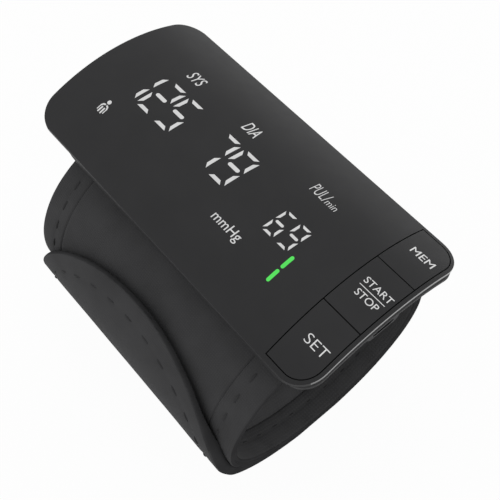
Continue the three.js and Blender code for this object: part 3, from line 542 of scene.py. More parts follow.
def head_level(inset, key_inset, depth):
    """A level of the head's own outline, drawn in by an inset, and by another one at its key end."""
    far = (HEAD_END - inset, FAR_CORNER - inset)
    return level(HEAD_END - key_inset, HEAD_SIDE - inset, HEAD_CORNER - inset, depth, far=far)


print(len(end_chain(HEAD_END, HEAD_SIDE, HEAD_CORNER)), "points round each end of the head")


# %% Booleans
def carved(bm, steps):
    """Cuts bodies out of a body, or adds them to it, with exact booleans."""
    target = link("target", metre_mesh(bm))
    helpers = []
    for operation, form in steps:
        helper = link("helper", metre_mesh(form))
        modifier = target.modifiers.new("step", "BOOLEAN")
        modifier.operation = operation
        modifier.solver = "EXACT"
        modifier.object = helper
        helpers.append(helper)
    mesh = evaluated_mesh(target)
    for helper in helpers + [target]:
        bpy.data.objects.remove(helper)
    return mesh


def upright_prism(outline, z0, z1):
    """A closed body with an outline in X and Y, from one height to another."""
    bm = bmesh.new()
    low = [bm.verts.new((x, y, z0)) for x, y in outline]
    high = [bm.verts.new((x, y, z1)) for x, y in outline]
    bm.faces.new(low)
    bm.faces.new(high)
    for i in range(len(outline)):
        j = (i + 1) % len(outline)
        bm.faces.new((low[i], low[j], high[j], high[i]))
    return bm


print("prisms and exact booleans ready")

# %% Front cover
COVER_THICKNESS = 1.8
COVER_WALL_LEVELS = (
    (0.1, 0.5, 0.0), (0.0, 0.4, 0.1), (0.0, 0.4, 0.9), (0.06, 0.46, 0.96), (0.8, 1.0, 0.98),
    (0.8, 1.0, 1.2), (0.7, 0.58, 1.22), (0.6, 0.48, 1.32), (0.6, 0.48, 1.7), (0.7, 0.58, COVER_THICKNESS),
)
KEY_END_RIM = 1.24
KEY_SIDE_RIM = 0.95
KEY_FIELD_LENGTH = 10.5
FIELD_X1 = HEAD_END - KEY_END_RIM
FIELD_X0 = FIELD_X1 - KEY_FIELD_LENGTH
FIELD_SIDE = HEAD_SIDE - KEY_SIDE_RIM
FIELD_CORNER = HEAD_CORNER - KEY_END_RIM
OVER = 3.0
WALL_TILT = 0.1
KEY_END_TURN = 0.3
RIM_CREASE = 10
WALL_SPLIT = 1.1


def key_field():
    """The outline of the key opening, square towards the display and round at the head's end."""
    x, y = FIELD_X1 - FIELD_CORNER, FIELD_SIDE - FIELD_CORNER
    ends = corner_arc(x, -y, FIELD_CORNER, -90) + corner_arc(x, y, FIELD_CORNER, 0)
    return [(FIELD_X0, -FIELD_SIDE)] + ends + [(FIELD_X0, FIELD_SIDE)]


def paint_faces(obj, material, chosen):
    """Gives the faces that a test chooses, by their place in millimetres and normal, a further finish."""
    mesh = obj.data
    mesh.materials.append(material)
    for face in mesh.polygons:
        if chosen(face.center / MM, face.normal):
            face.material_index = len(mesh.materials) - 1


def finish_end(obj, material, top, bottom):
    """Gives the upright faces of the key end, between two depths, a finish of their own."""
    def chosen(place, normal):
        upright = abs(normal.z) < WALL_TILT and normal.x > KEY_END_TURN
        return upright and place.x > FIELD_X1 and top < arch_height(place.y) - place.z < bottom

    paint_faces(obj, material, chosen)


opening = upright_prism(key_field(), APEX - HEAD_SIDE, APEX + OVER)
cover_form = lofted([head_level(*insets_and_depth) for insets_and_depth in COVER_WALL_LEVELS])
cover_mesh = carved(cover_form, [("DIFFERENCE", opening)])
cover = add_piece("cover_panel", cover_mesh, COVER, "head", ["front_cover"], crease=RIM_CREASE)
finish_end(cover, COVER_WALL, 0.0, WALL_SPLIT)
finish_end(cover, COVER_BAND, WALL_SPLIT, COVER_THICKNESS)

# %% [markdown]
# ## Keys
# Three keys fill the opening with a fine groove between them. Each is a slim plate that shares the arch of
# the cover, with a stem that reaches down to its switch. A plate is drawn flat, cut into narrow strips,
# given thickness and fine edges, and each point is then lowered onto the arch.

# %% Arched plates
STRIP = 1.0
STRIP_WELD = 0.001
FLAT_TILT = 0.9
ROUNDING_STEPS = 2


def cut_strips(bm, width):
    """Cuts flat faces into strips across Y, so that they can follow the arch."""
    count = int(2 * HEAD_SIDE / width)
    for strip in range(1, count):
        place = (0, -HEAD_SIDE + 2 * HEAD_SIDE * strip / count, 0)
        everything = bm.verts[:] + bm.edges[:] + bm.faces[:]
        bmesh.ops.bisect_plane(bm, geom=everything, dist=STRIP_WELD, plane_co=place, plane_no=(0, 1, 0))


def thicken(bm, thickness):
    """Gives flat faces a thickness below them."""
    grown = bmesh.ops.extrude_face_region(bm, geom=bm.faces[:])["geom"]
    lower = [item for item in grown if isinstance(item, bmesh.types.BMVert)]
    bmesh.ops.translate(bm, verts=lower, vec=(0, 0, -thickness))
    bmesh.ops.recalc_face_normals(bm, faces=bm.faces)


def is_rim(edge):
    """True for an edge where a flat face meets an upright wall."""
    tilts = sorted(abs(face.normal.z) for face in edge.link_faces)
    return len(tilts) == 2 and tilts[0] < WALL_TILT and tilts[1] > FLAT_TILT


def arched_plate(outline, thickness, rounding):
    """A plate of a flat outline, bent down onto the arch."""
    bm = bmesh.new()
    bm.faces.new([bm.verts.new((x, y, 0)) for x, y in outline])
    cut_strips(bm, STRIP)
    thicken(bm, thickness)
    rims = [edge for edge in bm.edges if is_rim(edge)]
    bmesh.ops.bevel(bm, geom=rims, offset=rounding, segments=ROUNDING_STEPS, profile=0.5, affect="EDGES")
    for vert in bm.verts:
        vert.co.z = arch_height(vert.co.y, -vert.co.z)
    return bm


print("plates follow the arch in strips of", STRIP, "mm")

# %% Three keys
KEY_THICKNESS = 1.2
KEY_ROUNDING = 0.07
KEY_GAP = 0.22
KEY_COUNT = 3
KEY_SPLIT = FIELD_SIDE / KEY_COUNT
STEM_RADIUS = 1.2
STEM_SIDES = 24
SWITCH_CLEARANCE = 0.7
KEY_X0 = FIELD_X0 + KEY_GAP
KEY_X1 = FIELD_X1 - KEY_GAP
KEY_SIDE = FIELD_SIDE - KEY_GAP
KEY_CORNER = FIELD_CORNER - KEY_GAP


def end_key():
    """The outline of the key at the positive Y end, with the head's round corner."""
    low = KEY_SPLIT + KEY_GAP / 2
    corner = corner_arc(KEY_X1 - KEY_CORNER, KEY_SIDE - KEY_CORNER, KEY_CORNER, 0)
    return [(KEY_X0, low), (KEY_X1, low)] + corner + [(KEY_X0, KEY_SIDE)]


def middle_key():
    half = KEY_SPLIT - KEY_GAP / 2
    return [(KEY_X0, -half), (KEY_X1, -half), (KEY_X1, half), (KEY_X0, half)]


def mirrored(outline):
    return [(x, -y) for x, y in reversed(outline)]


def add_stem(bm, switch):
    """Adds the stem over a switch, rooted in the key's underside."""
    low, high = node_box(switch)
    middle = (low + high) / 2
    top = arch_height(middle.y, KEY_THICKNESS / 2)
    foot = high.z + SWITCH_CLEARANCE
    place = Matrix.Translation((middle.x, middle.y, (top + foot) / 2))
    bmesh.ops.create_cone(bm, cap_ends=True, segments=STEM_SIDES, radius1=STEM_RADIUS,
                          radius2=STEM_RADIUS, depth=top - foot, matrix=place)


KEY_OUTLINES = {"set": mirrored(end_key()), "start_stop": middle_key(), "mem": end_key()}
for key_name, key_outline in KEY_OUTLINES.items():
    key_form = arched_plate(key_outline, KEY_THICKNESS, KEY_ROUNDING)
    add_stem(key_form, f"{key_name}_switch")
    add_piece(f"{key_name}_key_cap", metre_mesh(key_form), KEY, f"{key_name}_key",
              [f"{key_name}_button"], crease=RIM_CREASE)

# %% [markdown]
# ## Rear case
# Behind the cover sits a hull like a small boat: a lip that follows the arch, upright sides, and a belly
# drawn in towards the cuff. It is lofted as the cover was. The port's collar is then added, and the cuff's
# seat, the hollow, the port and the screw holes are cut with booleans, as a mould's inserts form them.

# %% Levels of the hull
SEAM = 0.3
LIP_INSET = 1.0
LIP_KEY_INSET = 0.45
LIP_HEIGHT = 1.6
LIP_ROUNDING = 0.3
LIP_ROUNDING_SHARE = 0.3
HULL_TUCK = 0.1
HULL_CREASE = 30
LIP_END = COVER_THICKNESS + SEAM + LIP_HEIGHT
HULL_END = HEAD_END - 3.1
HULL_SIDE = HEAD_SIDE - 1.3
HULL_CORNER = HEAD_CORNER - 1.1
BELLY_DEPTH = 11.5
BELLY_SIDE = HEAD_SIDE - 1.5
FAR_TAPER = 2.0
BILGE_DEPTH = 15.5
BILGE_END = 38.0
BILGE_SIDE = 20.4
FOOT_DEPTH = 23.5
FOOT_END = 28.5
FOOT_SIDE = 15.8
BILGE_STEPS = 6


def hull_levels(inset, lift=0.0):
    """Levels of the hull, shrunk by an inset. The lift raises the top level."""
    corner = HULL_CORNER - inset
    end, side = HULL_END - inset, HULL_SIDE - inset
    levels = [level(end, side, corner, LIP_END + HULL_TUCK - lift)]
    for step in range(1, BILGE_STEPS + 1):
        share = step / BILGE_STEPS
        depth = LIP_END + (BELLY_DEPTH - inset - LIP_END) * share
        belly_side = side + (BELLY_SIDE - HULL_SIDE) * share
        far = (end - FAR_TAPER * share, corner)
        levels.append(level(end, belly_side, corner, depth, 1 - share, far))
    for step in range(1, BILGE_STEPS + 1):
        turn = math.radians(90 * step / BILGE_STEPS)
        depth = BELLY_DEPTH - inset + (BILGE_DEPTH - BELLY_DEPTH) * math.sin(turn)
        share = 1 - math.cos(turn)
        bilge_end = end + (BILGE_END - HULL_END) * share
        bilge_side = BELLY_SIDE - inset + (BILGE_SIDE - BELLY_SIDE) * share
        levels.append(level(bilge_end, bilge_side, corner, depth, 0.0, (bilge_end - FAR_TAPER, corner)))
    levels.append(level(FOOT_END - inset, FOOT_SIDE - inset, corner, FOOT_DEPTH - inset, 0.0))
    return levels


def lip_levels():
    """The lip just under the cover, with a rounded top and bottom edge."""
    top = COVER_THICKNESS + SEAM
    near = LIP_ROUNDING_SHARE * LIP_ROUNDING
    places = (
        (LIP_ROUNDING, top), (near, top + near), (0.0, top + LIP_ROUNDING),
        (0.0, LIP_END - LIP_ROUNDING), (near, LIP_END - near), (LIP_ROUNDING, LIP_END),
    )
    return [head_level(LIP_INSET + inset, LIP_KEY_INSET + inset, depth) for inset, depth in places]


print("hull of", len(hull_levels(0.0)), "levels under a lip of", len(lip_levels()))

# %% Forms that are added or cut
HOLE_SIDES = 32
PLUG_SIDES = 180


def wrap_point(degrees, offset):
    """Y and Z of a point of the cuff's section, at a distance from the cuff's outer surface."""
    angle = math.radians(degrees)
    y = CUFF_MIDDLE.y + (CUFF_ACROSS + offset) * math.cos(angle)
    z = CUFF_MIDDLE.z + (CUFF_TALL + offset) * math.sin(angle)
    return y, z


def extruded(section, x0, x1):
    """A closed body with a section in Y and Z, from one place along X to another."""
    bm = upright_prism(section, x0, x1)
    for vert in bm.verts:
        vert.co = (vert.co.z, vert.co.x, vert.co.y)
    return bm


def cuff_plug(offset):
    """A solid of the cuff's outer shape, grown by an offset."""
    section = [wrap_point(360 * side / PLUG_SIDES, offset) for side in range(PLUG_SIDES)]
    return extruded(section, -2 * HEAD_END, 2 * HEAD_END)


def slot_section(half_width, half_height, middle):
    """A slot with round ends, across Y and Z."""
    ends = corner_arc(half_width - half_height, middle, half_height, -90)
    ends += corner_arc(half_width - half_height, middle, half_height, 0)[1:]
    return ends + [(-y, 2 * middle - z) for y, z in ends]


def upright_rod(x, y, z0, z1, radius):
    return upright_prism(circle(x, y, radius, HOLE_SIDES), z0, z1)


print(f"the wrap's top lies at {wrap_point(90, 0.0)[1]:.1f} mm")

# %% Rear case
CASE_WALL = 1.5
SCREW_HOLE = 1.75
PORT_GAP = 0.1
PORT_COLLAR_WALL = 0.3
PORT_SETBACK = 0.3
PORT_LOW, PORT_HIGH = node_box("usb_port")
PORT_MIDDLE = (PORT_LOW + PORT_HIGH) / 2
SCREW_BOXES = [node_box(f"case_screw_{number}") for number in range(1, 5)]


def port_form(growth, x0, x1):
    """The port's outline, grown by a gap or a wall, from one place along X to another."""
    half_height = (PORT_HIGH.z - PORT_LOW.z) / 2 + growth
    return extruded(slot_section(PORT_HIGH.y + growth, half_height, PORT_MIDDLE.z), x0, x1)


def millimetre_form(mesh):
    """A bmesh in millimetres from a mesh in metres."""
    bm = bmesh.new()
    bm.from_mesh(mesh)
    bmesh.ops.scale(bm, vec=(1 / MM,) * 3, verts=bm.verts)
    return bm


def rear_case():
    inside = lofted(hull_levels(CASE_WALL, lift=2 * OVER))
    hollow = carved(inside, [("DIFFERENCE", cuff_plug(SEAM + CASE_WALL))])
    collar = port_form(PORT_GAP + PORT_COLLAR_WALL, HULL_END - CASE_WALL, PORT_HIGH.x - PORT_SETBACK)
    port_hole = port_form(PORT_GAP, PORT_LOW.x - PORT_GAP, HEAD_END + OVER)
    cuts = [cuff_plug(SEAM), millimetre_form(hollow), port_hole]
    for low, high in SCREW_BOXES:
        middle = (low + high) / 2
        cuts.append(upright_rod(middle.x, middle.y, CUFF_MIDDLE.z, high.z - LIP_HEIGHT, SCREW_HOLE))
    steps = [("UNION", collar)] + [("DIFFERENCE", form) for form in cuts]
    return carved(lofted(lip_levels() + hull_levels(0.0)), steps)


add_piece("case_hull", rear_case(), REAR, "head", ["rear_case"], crease=HULL_CREASE)

# %% [markdown]
# ## Charging port
# A port in the key end takes a charging plug. On the real object it is a drawn metal shell, blackened, with
# a thin tongue inside. The shell is a slot with round ends, its mouth is cut with a boolean, and the faces
# that look into the mouth get black plastic as painted shade, so that it reads as deep from any side.

# %% Charging port
PORT_WALL = 0.6
PORT_CHEEK = 1.55
PORT_BACK = 1.0
TONGUE_SIDE = 2.4
TONGUE_THICKNESS = 0.7
TONGUE_SETBACK = 0.6
INWARD_TURN = 0.5


def shaded_mouth_face(place, normal):
    """True for the faces inside the port's mouth, which look out of its back or towards its middle and get
    black as painted shade.
    """
    inward = Vector((0, -place.y, PORT_MIDDLE.z - place.z)).normalized()
    is_back = normal.x > FLAT_TILT and place.x < PORT_HIGH.x - PORT_BACK
    return is_back or normal.dot(inward) > INWARD_TURN


mouth_half = (PORT_HIGH.z - PORT_LOW.z) / 2 - PORT_WALL
mouth = slot_section(PORT_HIGH.y - PORT_CHEEK, mouth_half, PORT_MIDDLE.z)
port_steps = [("DIFFERENCE", extruded(mouth, PORT_LOW.x + PORT_BACK, HEAD_END))]
port_mesh = carved(port_form(0.0, PORT_LOW.x, PORT_HIGH.x), port_steps)
port = add_piece("port_shell", port_mesh, PORT_BLACK, "head", ["usb_port"])
# The mouth's faces get black plastic: painted shade in the port's recess.
paint_faces(port, BLACK, shaded_mouth_face)
tongue = slot_section(TONGUE_SIDE, TONGUE_THICKNESS / 2, PORT_MIDDLE.z)
tongue_form = extruded(tongue, PORT_LOW.x + PORT_BACK, PORT_HIGH.x - TONGUE_SETBACK)
add_piece("port_tongue", metre_mesh(tongue_form), BLACK, "head")

# %% [markdown]
# ## Cuff
# The cuff is a padded wrap. Its shell is a band of cloth with a crisp edge and a sewn hem, and the lining
# closes it inside, full over the air bladder and thin at the hem. A cloth simulation would swell the band,
# but a stiff stay inside keeps the real one smooth, so the section is drawn with its seams, swept round
# the ellipse and loosened by a shallow ripple.

# %% Skin of swept sections
RING_STEPS = 180
CLOTH_END = CUFF_END + 0.2


def smooth(share):
    """An even rise from 0 to 1."""
    share = min(max(share, 0.0), 1.0)
    return share * share * (3 - 2 * share)


def running_lengths(points):
    """Distance along a run of points, from its first one."""
    lengths = [0.0]
    for first, second in zip(points, points[1:]):
        lengths.append(lengths[-1] + math.dist(first, second))
    return lengths


def skin(rows, along, across, close_rows):
    """Skins rows of closed sections with quads and lays a UV map in metres along and across the cloth."""
    bm = bmesh.new()
    cloth_map = bm.loops.layers.uv.new("cloth")
    verts = [[bm.verts.new(point) for point in row] for row in rows]
    count, width = len(rows), len(rows[0])
    for i in range(count if close_rows else count - 1):
        for j in range(width):
            corners = ((i, j), (i + 1, j), (i + 1, j + 1), (i, j + 1))
            face = bm.faces.new([verts[a % count][b % width] for a, b in corners])
            for loop, (a, b) in zip(face.loops, corners):
                loop[cloth_map].uv = (along[a] * MM, across[b] * MM)
    return bm


print(f"the cloth is {2 * CLOTH_END:.1f} mm wide")

# %% Sweep round the cuff
RIPPLE = 0.14
RIPPLE_SIZE = 11.0
CLOTH_SHIFT = 0.3
EDGE_TURN = 0.6
ROLL_TURN = 0.97
GIRTH = math.pi * (CUFF_ACROSS + CUFF_TALL)


def ripple(degrees, across, size=RIPPLE):
    """A shallow swell of the cloth, the same on each run."""
    angle = math.radians(degrees)
    place = Vector((math.cos(angle) * CUFF_ACROSS, math.sin(angle) * CUFF_TALL, across)) / RIPPLE_SIZE
    return size * noise.noise(place)


def cuff_point(degrees, across, offset):
    """A point of the cuff's cloth. What would reach below the resting plane is flattened."""
    y, z = wrap_point(degrees, offset + ripple(degrees, across))
    return across + CLOTH_SHIFT, y, max(z, 0.0)


def shade_edges(obj, beyond=0.0, turn=EDGE_TURN):
    """Gives the faces at a cloth's edges, which look along the wrap, a darker dull cloth as painted shade.
    """
    def chosen(place, normal):
        out = Vector((0, place.y - CUFF_MIDDLE.y, place.z - CUFF_MIDDLE.z)).normalized()
        return abs(place.x) > beyond and abs(normal.dot(out)) < turn

    paint_faces(obj, EDGE_SHADE_CLOTH, chosen)


def swept_band(half):
    """Mirrors half a section into a closed loop and sweeps it round the cuff."""
    section = half + [(-across, offset) for across, offset in reversed(half[1:-1])]
    rows = []
    for step in range(RING_STEPS):
        degrees = 360 * step / RING_STEPS
        rows.append([cuff_point(degrees, across, offset) for across, offset in section])
    along = [GIRTH * step / RING_STEPS for step in range(RING_STEPS + 1)]
    return skin(rows, along, running_lengths(section + section[:1]), True)


print(f"the cuff measures {GIRTH:.0f} mm round")

# %% Shell of the cuff
HEM_LINE = 7.9
HEM_GROOVE = 0.26
HEM_GROOVE_WIDTH = 0.22
STITCH_LINE = 5.0
STITCH_DENT = 0.12
STITCH_DENT_WIDTH = 0.7
FACE_STEP = 1.5
SEAM_STEPS = (-0.9, -0.5, -0.28, -0.14, 0.0, 0.14, 0.28, 0.5, 0.9)
SHELL_ROLL = 0.4
SHELL_THICKNESS = 1.2
ROLL_STEPS = 6


def bell(distance, width):
    """A smooth bump, 1 at its middle, that fades over a width."""
    return math.exp(-((distance / width) ** 2))


def hem_groove(edge):
    """The fine groove beside a turned hem, at a distance from the cloth's edge."""
    return HEM_GROOVE * bell(edge - HEM_LINE, HEM_GROOVE_WIDTH)


def stitch_dent(edge):
    """How far a row of stitches pulls the cloth in, at a distance from its edge."""
    return STITCH_DENT * bell(edge - STITCH_LINE, STITCH_DENT_WIDTH)


def face_places(end):
    """Places across a face from its middle to its end, close together at the seams."""
    places = {end * step / int(end / FACE_STEP) for step in range(int(end / FACE_STEP) + 1)}
    for line in (HEM_LINE, STITCH_LINE):
        places.update(CLOTH_END - line + step for step in SEAM_STEPS)
    return sorted(places)


def quarter_roll(x, offset, radius, start):
    """A quarter turn of a rolled edge, from a start angle towards the inside."""
    return arc(x, offset, radius, start, -90, ROLL_STEPS)


def shell_half():
    flat_end = CLOTH_END - SHELL_ROLL
    places = [(place, CLOTH_END - place) for place in face_places(flat_end)][:-1]
    points = [(place, -hem_groove(edge) - stitch_dent(edge)) for place, edge in places]
    points += quarter_roll(flat_end, -SHELL_ROLL, SHELL_ROLL, 90)
    return points + [(CLOTH_END, -SHELL_THICKNESS), (0, -SHELL_THICKNESS)]


shell_mesh = metre_mesh(swept_band(shell_half()))
shell = add_piece("cuff_wrap", shell_mesh, FABRIC, "head", ["cuff_shell"])
shade_edges(shell)

# %% Lining of the cuff
LINING_THICKNESS = 0.8
LINING_GAP = 0.04
LINING_SETBACK = 0.12
LINING_ROLL = 0.5
POUCH_FACE = -5.5
HEM_FACE = -2.3
POUCH_SIDE = 24.0
HEM_START = 28.8
POUCH_GROOVE = 0.6


def lining_face(place):
    """Offset of the lining's face: thin at the hem and full over the bladder."""
    rise = math.sqrt(smooth((HEM_START - place) / (HEM_START - POUCH_SIDE)))
    return HEM_FACE + (POUCH_FACE - HEM_FACE) * rise


def lining_half():
    end = CLOTH_END - LINING_SETBACK
    places = face_places(end - LINING_ROLL)
    face = []
    for place in places[:-1]:
        edge = CLOTH_END - place
        face.append((place, lining_face(place) + POUCH_GROOVE * hem_groove(edge) + stitch_dent(edge)))
    roll = quarter_roll(end - LINING_ROLL, HEM_FACE + LINING_ROLL, LINING_ROLL, 0)
    back = [(place, lining_face(place) + LINING_THICKNESS) for place in reversed(places)]
    return face + roll[::-1] + [(end, -SHELL_THICKNESS - LINING_GAP)] + back


lining_mesh = metre_mesh(swept_band(lining_half()))
lining = add_piece("cuff_inner_face", lining_mesh, LINING, "head", ["cuff_lining"])
# The lining's rolled edge gets the darker edge cloth too, as painted shade over the light it catches.
shade_edges(lining, beyond=CLOTH_END - 2 * LINING_ROLL, turn=ROLL_TURN)

# %% [markdown]
# ## Tail of the cuff
# The wrap's loose end laps over the outside of the near wall and ends in a half ellipse. It is one padded
# sheet that leaves the wrap at the bottom, so it starts on the wrap, crosses the hinge and runs up to its
# tip. Its thickness fades to nothing at the edge along a small quarter circle, which gives a turned rim.

# %% Shape of the tail
TAIL_TIP = 143.5
TAIL_ROOT = 225.0
TAIL_START = 262.0
TAIL_OUTER = 3.1
TAIL_THICKNESS = 1.8
TAIL_SIDE = 35.5
TAIL_SHIFT = 1.0
TAIL_ROUND_DEPTH = 27.0
TAIL_RADIUS = (CUFF_ACROSS + CUFF_TALL) / 2 + TAIL_OUTER - TAIL_THICKNESS / 2
TAIL_LENGTH = math.radians(TAIL_ROOT - TAIL_TIP) * TAIL_RADIUS
LAP_FROM = 195.0
LAP_SPREAD = 75.0
TAIL_ROOT_LIFT = 0.05
TAIL_FLOOR = -0.06
TAIL_ROLL = 0.45
THINNEST = 0.1
TINY = 1e-6
SETTLE_FROM, SETTLE_SPREAD = 200.0, 12.0
ROOT_GROWTH, ROOT_SPREAD = 0.7, 8.0
HUG_FROM, HUG_SPREAD, HUG_WIDTH = 8.0, 10.0, 2.2


def tail_outer(degrees):
    """Distance of the tail's outer face from the wrap: it rises from the wrap to its full lap."""
    return TAIL_OUTER * (1 - smooth((degrees - LAP_FROM) / LAP_SPREAD))


def tail_inner(degrees, distance, edge):
    """Distance of the tail's inner face from the wrap: it settles on the wrap at its root and sides."""
    free = max(tail_outer(degrees) - TAIL_THICKNESS, TAIL_ROOT_LIFT)
    settle = smooth((degrees - SETTLE_FROM) / SETTLE_SPREAD)
    hug = smooth((distance - HUG_FROM) / HUG_SPREAD) * bell(edge, HUG_WIDTH)
    return free + (TAIL_ROOT_LIFT - free) * max(settle, hug)


def tail_half_width(distance):
    """Half the tail's width: a half ellipse at its end, then a slight growth to the wrap's own width."""
    share = max(1 - distance / TAIL_ROUND_DEPTH, 0.0)
    growth = ROOT_GROWTH * smooth((distance - TAIL_ROUND_DEPTH) / ROOT_SPREAD)
    return TAIL_SIDE * math.sqrt(1 - share * share) + growth


def tail_edge(distance, across):
    """About how far a point of the tail lies from its edge."""
    if distance >= TAIL_ROUND_DEPTH:
        return tail_half_width(distance) - abs(across)
    u, v = across / TAIL_SIDE, (TAIL_ROUND_DEPTH - distance) / TAIL_ROUND_DEPTH
    reach = math.hypot(u, v)
    slope = math.hypot(u / TAIL_SIDE, v / TAIL_ROUND_DEPTH) / max(reach, TINY)
    return max((1 - reach) / max(slope, TINY), 0.0)


def tail_point(distance, across, side):
    """A point of the tail, on its outer face for side 1 and on its inner face for side -1."""
    degrees = TAIL_TIP + math.degrees(distance / TAIL_RADIUS)
    edge = tail_edge(distance, across)
    outer, inner = tail_outer(degrees), tail_inner(degrees, distance, edge)
    fullness = math.sqrt(1 - (1 - min(edge / TAIL_ROLL, 1.0)) ** 2)
    swell = max(outer - inner, THINNEST) / 2 * fullness - stitch_dent(edge)
    offset = (outer + inner) / 2 + side * swell
    y, z = wrap_point(degrees, offset + ripple(degrees, across))
    return across + TAIL_SHIFT, y, max(z, TAIL_FLOOR)


print(f"the tail is {TAIL_LENGTH:.1f} mm long from its root")

# %% Tail
TIP_ROWS = 36
WALL_ROWS = 44
TAIL_COLUMNS = 56
TAIL_CREASE = 60


def tail_distances():
    """Rows from the tip to the start, close together at the tip."""
    rows = []
    for row in range(TIP_ROWS):
        rows.append(TAIL_ROUND_DEPTH * (1 - math.cos(math.radians(90 * row / TIP_ROWS))))
    last = math.radians(TAIL_START - TAIL_TIP) * TAIL_RADIUS
    for row in range(WALL_ROWS + 1):
        rows.append(TAIL_ROUND_DEPTH + (last - TAIL_ROUND_DEPTH) * row / WALL_ROWS)
    return rows


def tail_form():
    distances = tail_distances()
    shares = [math.sin(math.radians(90 * (2 * i / TAIL_COLUMNS - 1))) for i in range(TAIL_COLUMNS + 1)]
    rows = []
    for distance in distances:
        half_width = tail_half_width(distance)
        row = [tail_point(distance, half_width * share, 1) for share in shares]
        rows.append(row + [tail_point(distance, half_width * share, -1) for share in reversed(shares)])
    widths = [TAIL_SIDE * (share + 1) for share in shares]
    across = widths + [4 * TAIL_SIDE - width for width in reversed(widths)] + [4 * TAIL_SIDE]
    bm = skin(rows, distances, across, False)
    bmesh.ops.remove_doubles(bm, verts=bm.verts, dist=WELD)
    bmesh.ops.contextual_create(bm, geom=[edge for edge in bm.edges if edge.is_boundary])
    return bm


tail = add_piece("tail_flap", metre_mesh(tail_form()), FABRIC, None, ["cuff_tail"],
                 crease=TAIL_CREASE)
shade_edges(tail)
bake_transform(tail)

# %% [markdown]
# ## Stitches
# Rows of stitches hold the hems. Each is a short thread that dips into the cloth, spaced evenly along the
# seam. A geometry node tree does this best: it takes the seam as a line, spaces points along it and
# puts one small thread on each point, turned along the seam.


# %% Node trees
def node_tree(name, inputs):
    """A geometry node tree with named inputs. Returns it with its input sockets and its end."""
    tree = bpy.data.node_groups.new(name, "GeometryNodeTree")
    for label, kind in {"Geometry": "Geometry", **inputs}.items():
        tree.interface.new_socket(label, in_out="INPUT", socket_type=f"NodeSocket{kind}")
    tree.interface.new_socket("Geometry", in_out="OUTPUT", socket_type="NodeSocketGeometry")
    return tree, add_node(tree, "NodeGroupInput").outputs, add_node(tree, "NodeGroupOutput")


def run_tree(tree, mesh, settings):
    """Runs a tree on a mesh and returns the result as a plain mesh."""
    holder = link("holder", mesh)
    modifier = holder.modifiers.new("nodes", "NODES")
    modifier.node_group = tree
    for item in tree.interface.items_tree:
        if item.item_type == "SOCKET" and item.name in settings:
            modifier[item.identifier] = settings[item.name]
    result = evaluated_mesh(holder)
    bpy.data.objects.remove(holder)
    return result


def set_on_points(tree, end, material, **links):
    """Ends a tree: a form is set on each point, the copies become real faces and get their material."""
    place = add_node(tree, "GeometryNodeInstanceOnPoints", links)
    real = add_node(tree, "GeometryNodeRealizeInstances", {"Geometry": place.outputs["Instances"]})
    paint = add_node(tree, "GeometryNodeSetMaterial",
                     {"Geometry": real.outputs["Geometry"], "Material": material})
    tree.links.new(paint.outputs["Geometry"], end.inputs["Geometry"])


def turned_along(tree, direction, axis):
    """A rotation that turns an axis of a form along a direction."""
    turn = add_node(tree, "FunctionNodeAlignRotationToVector", {"Vector": direction}, axis=axis)
    return turn.outputs["Rotation"]


print("helpers for node trees ready")

# %% Stitch tree
STITCH_BALL = {"Segments": 8, "Rings": 6, "Radius": 0.5}


def stitch_tree():
    inputs = {"Pitch": "Float", "Stitch": "Vector", "Thread": "Material"}
    tree, given, end = node_tree("stitches", inputs)
    curve = add_node(tree, "GeometryNodeMeshToCurve", {"Mesh": given["Geometry"]})
    spaced = add_node(tree, "GeometryNodeResampleCurve",
                      {"Curve": curve.outputs["Curve"], "Length": given["Pitch"]}, mode="LENGTH")
    tangent = add_node(tree, "GeometryNodeInputTangent")
    thread = add_node(tree, "GeometryNodeMeshUVSphere", values=STITCH_BALL)
    set_on_points(tree, end, given["Thread"], Points=spaced.outputs["Curve"],
                  Instance=thread.outputs["Mesh"], Scale=given["Stitch"],
                  Rotation=turned_along(tree, tangent.outputs["Tangent"], "X"))
    return tree


STITCHES = stitch_tree()
print("stitch tree of", len(STITCHES.nodes), "nodes")

# %% Stitches along seams
STITCH_PITCH = 6.2
STITCH_SIZE = Vector((2.8, 0.7, 0.36)) * MM


def seam_mesh(seams):
    """A mesh of lines, in metres, from runs of points in millimetres."""
    bm = bmesh.new()
    for seam, closed in seams:
        verts = [bm.verts.new(Vector(point) * MM) for point in seam]
        for first, second in zip(verts, verts[1:] + verts[:1] if closed else verts[1:]):
            bm.edges.new((first, second))
    return plain_mesh(bm)


def stitches_along(seams):
    settings = {"Pitch": STITCH_PITCH * MM, "Stitch": STITCH_SIZE, "Thread": THREAD}
    return run_tree(STITCHES, seam_mesh(seams), settings)


print("one stitch every", STITCH_PITCH, "mm")

# %% Stitches of the cuff
STITCH_RISE = 0.02
INNER_SINK = 0.14
STITCH_FLOOR = 0.2
RING_SEAM_STEPS = 240
SEAM_ACROSS = CLOTH_END - STITCH_LINE


def ring_seam(across, offset):
    points = []
    for step in range(RING_SEAM_STEPS):
        x, y, z = cuff_point(360 * step / RING_SEAM_STEPS, across, offset)
        points.append((x, y, max(z, STITCH_FLOOR)))
    return points, True


outer_seams = [ring_seam(side * SEAM_ACROSS, -STITCH_DENT + STITCH_RISE) for side in (-1, 1)]
inner_seams = [ring_seam(side * SEAM_ACROSS, HEM_FACE + STITCH_DENT + INNER_SINK) for side in (-1, 1)]
add_piece("cuff_stitches", stitches_along(outer_seams + inner_seams), THREAD, "head")

# %% Stitches of the tail
TAIL_SEAM_ROWS = 60


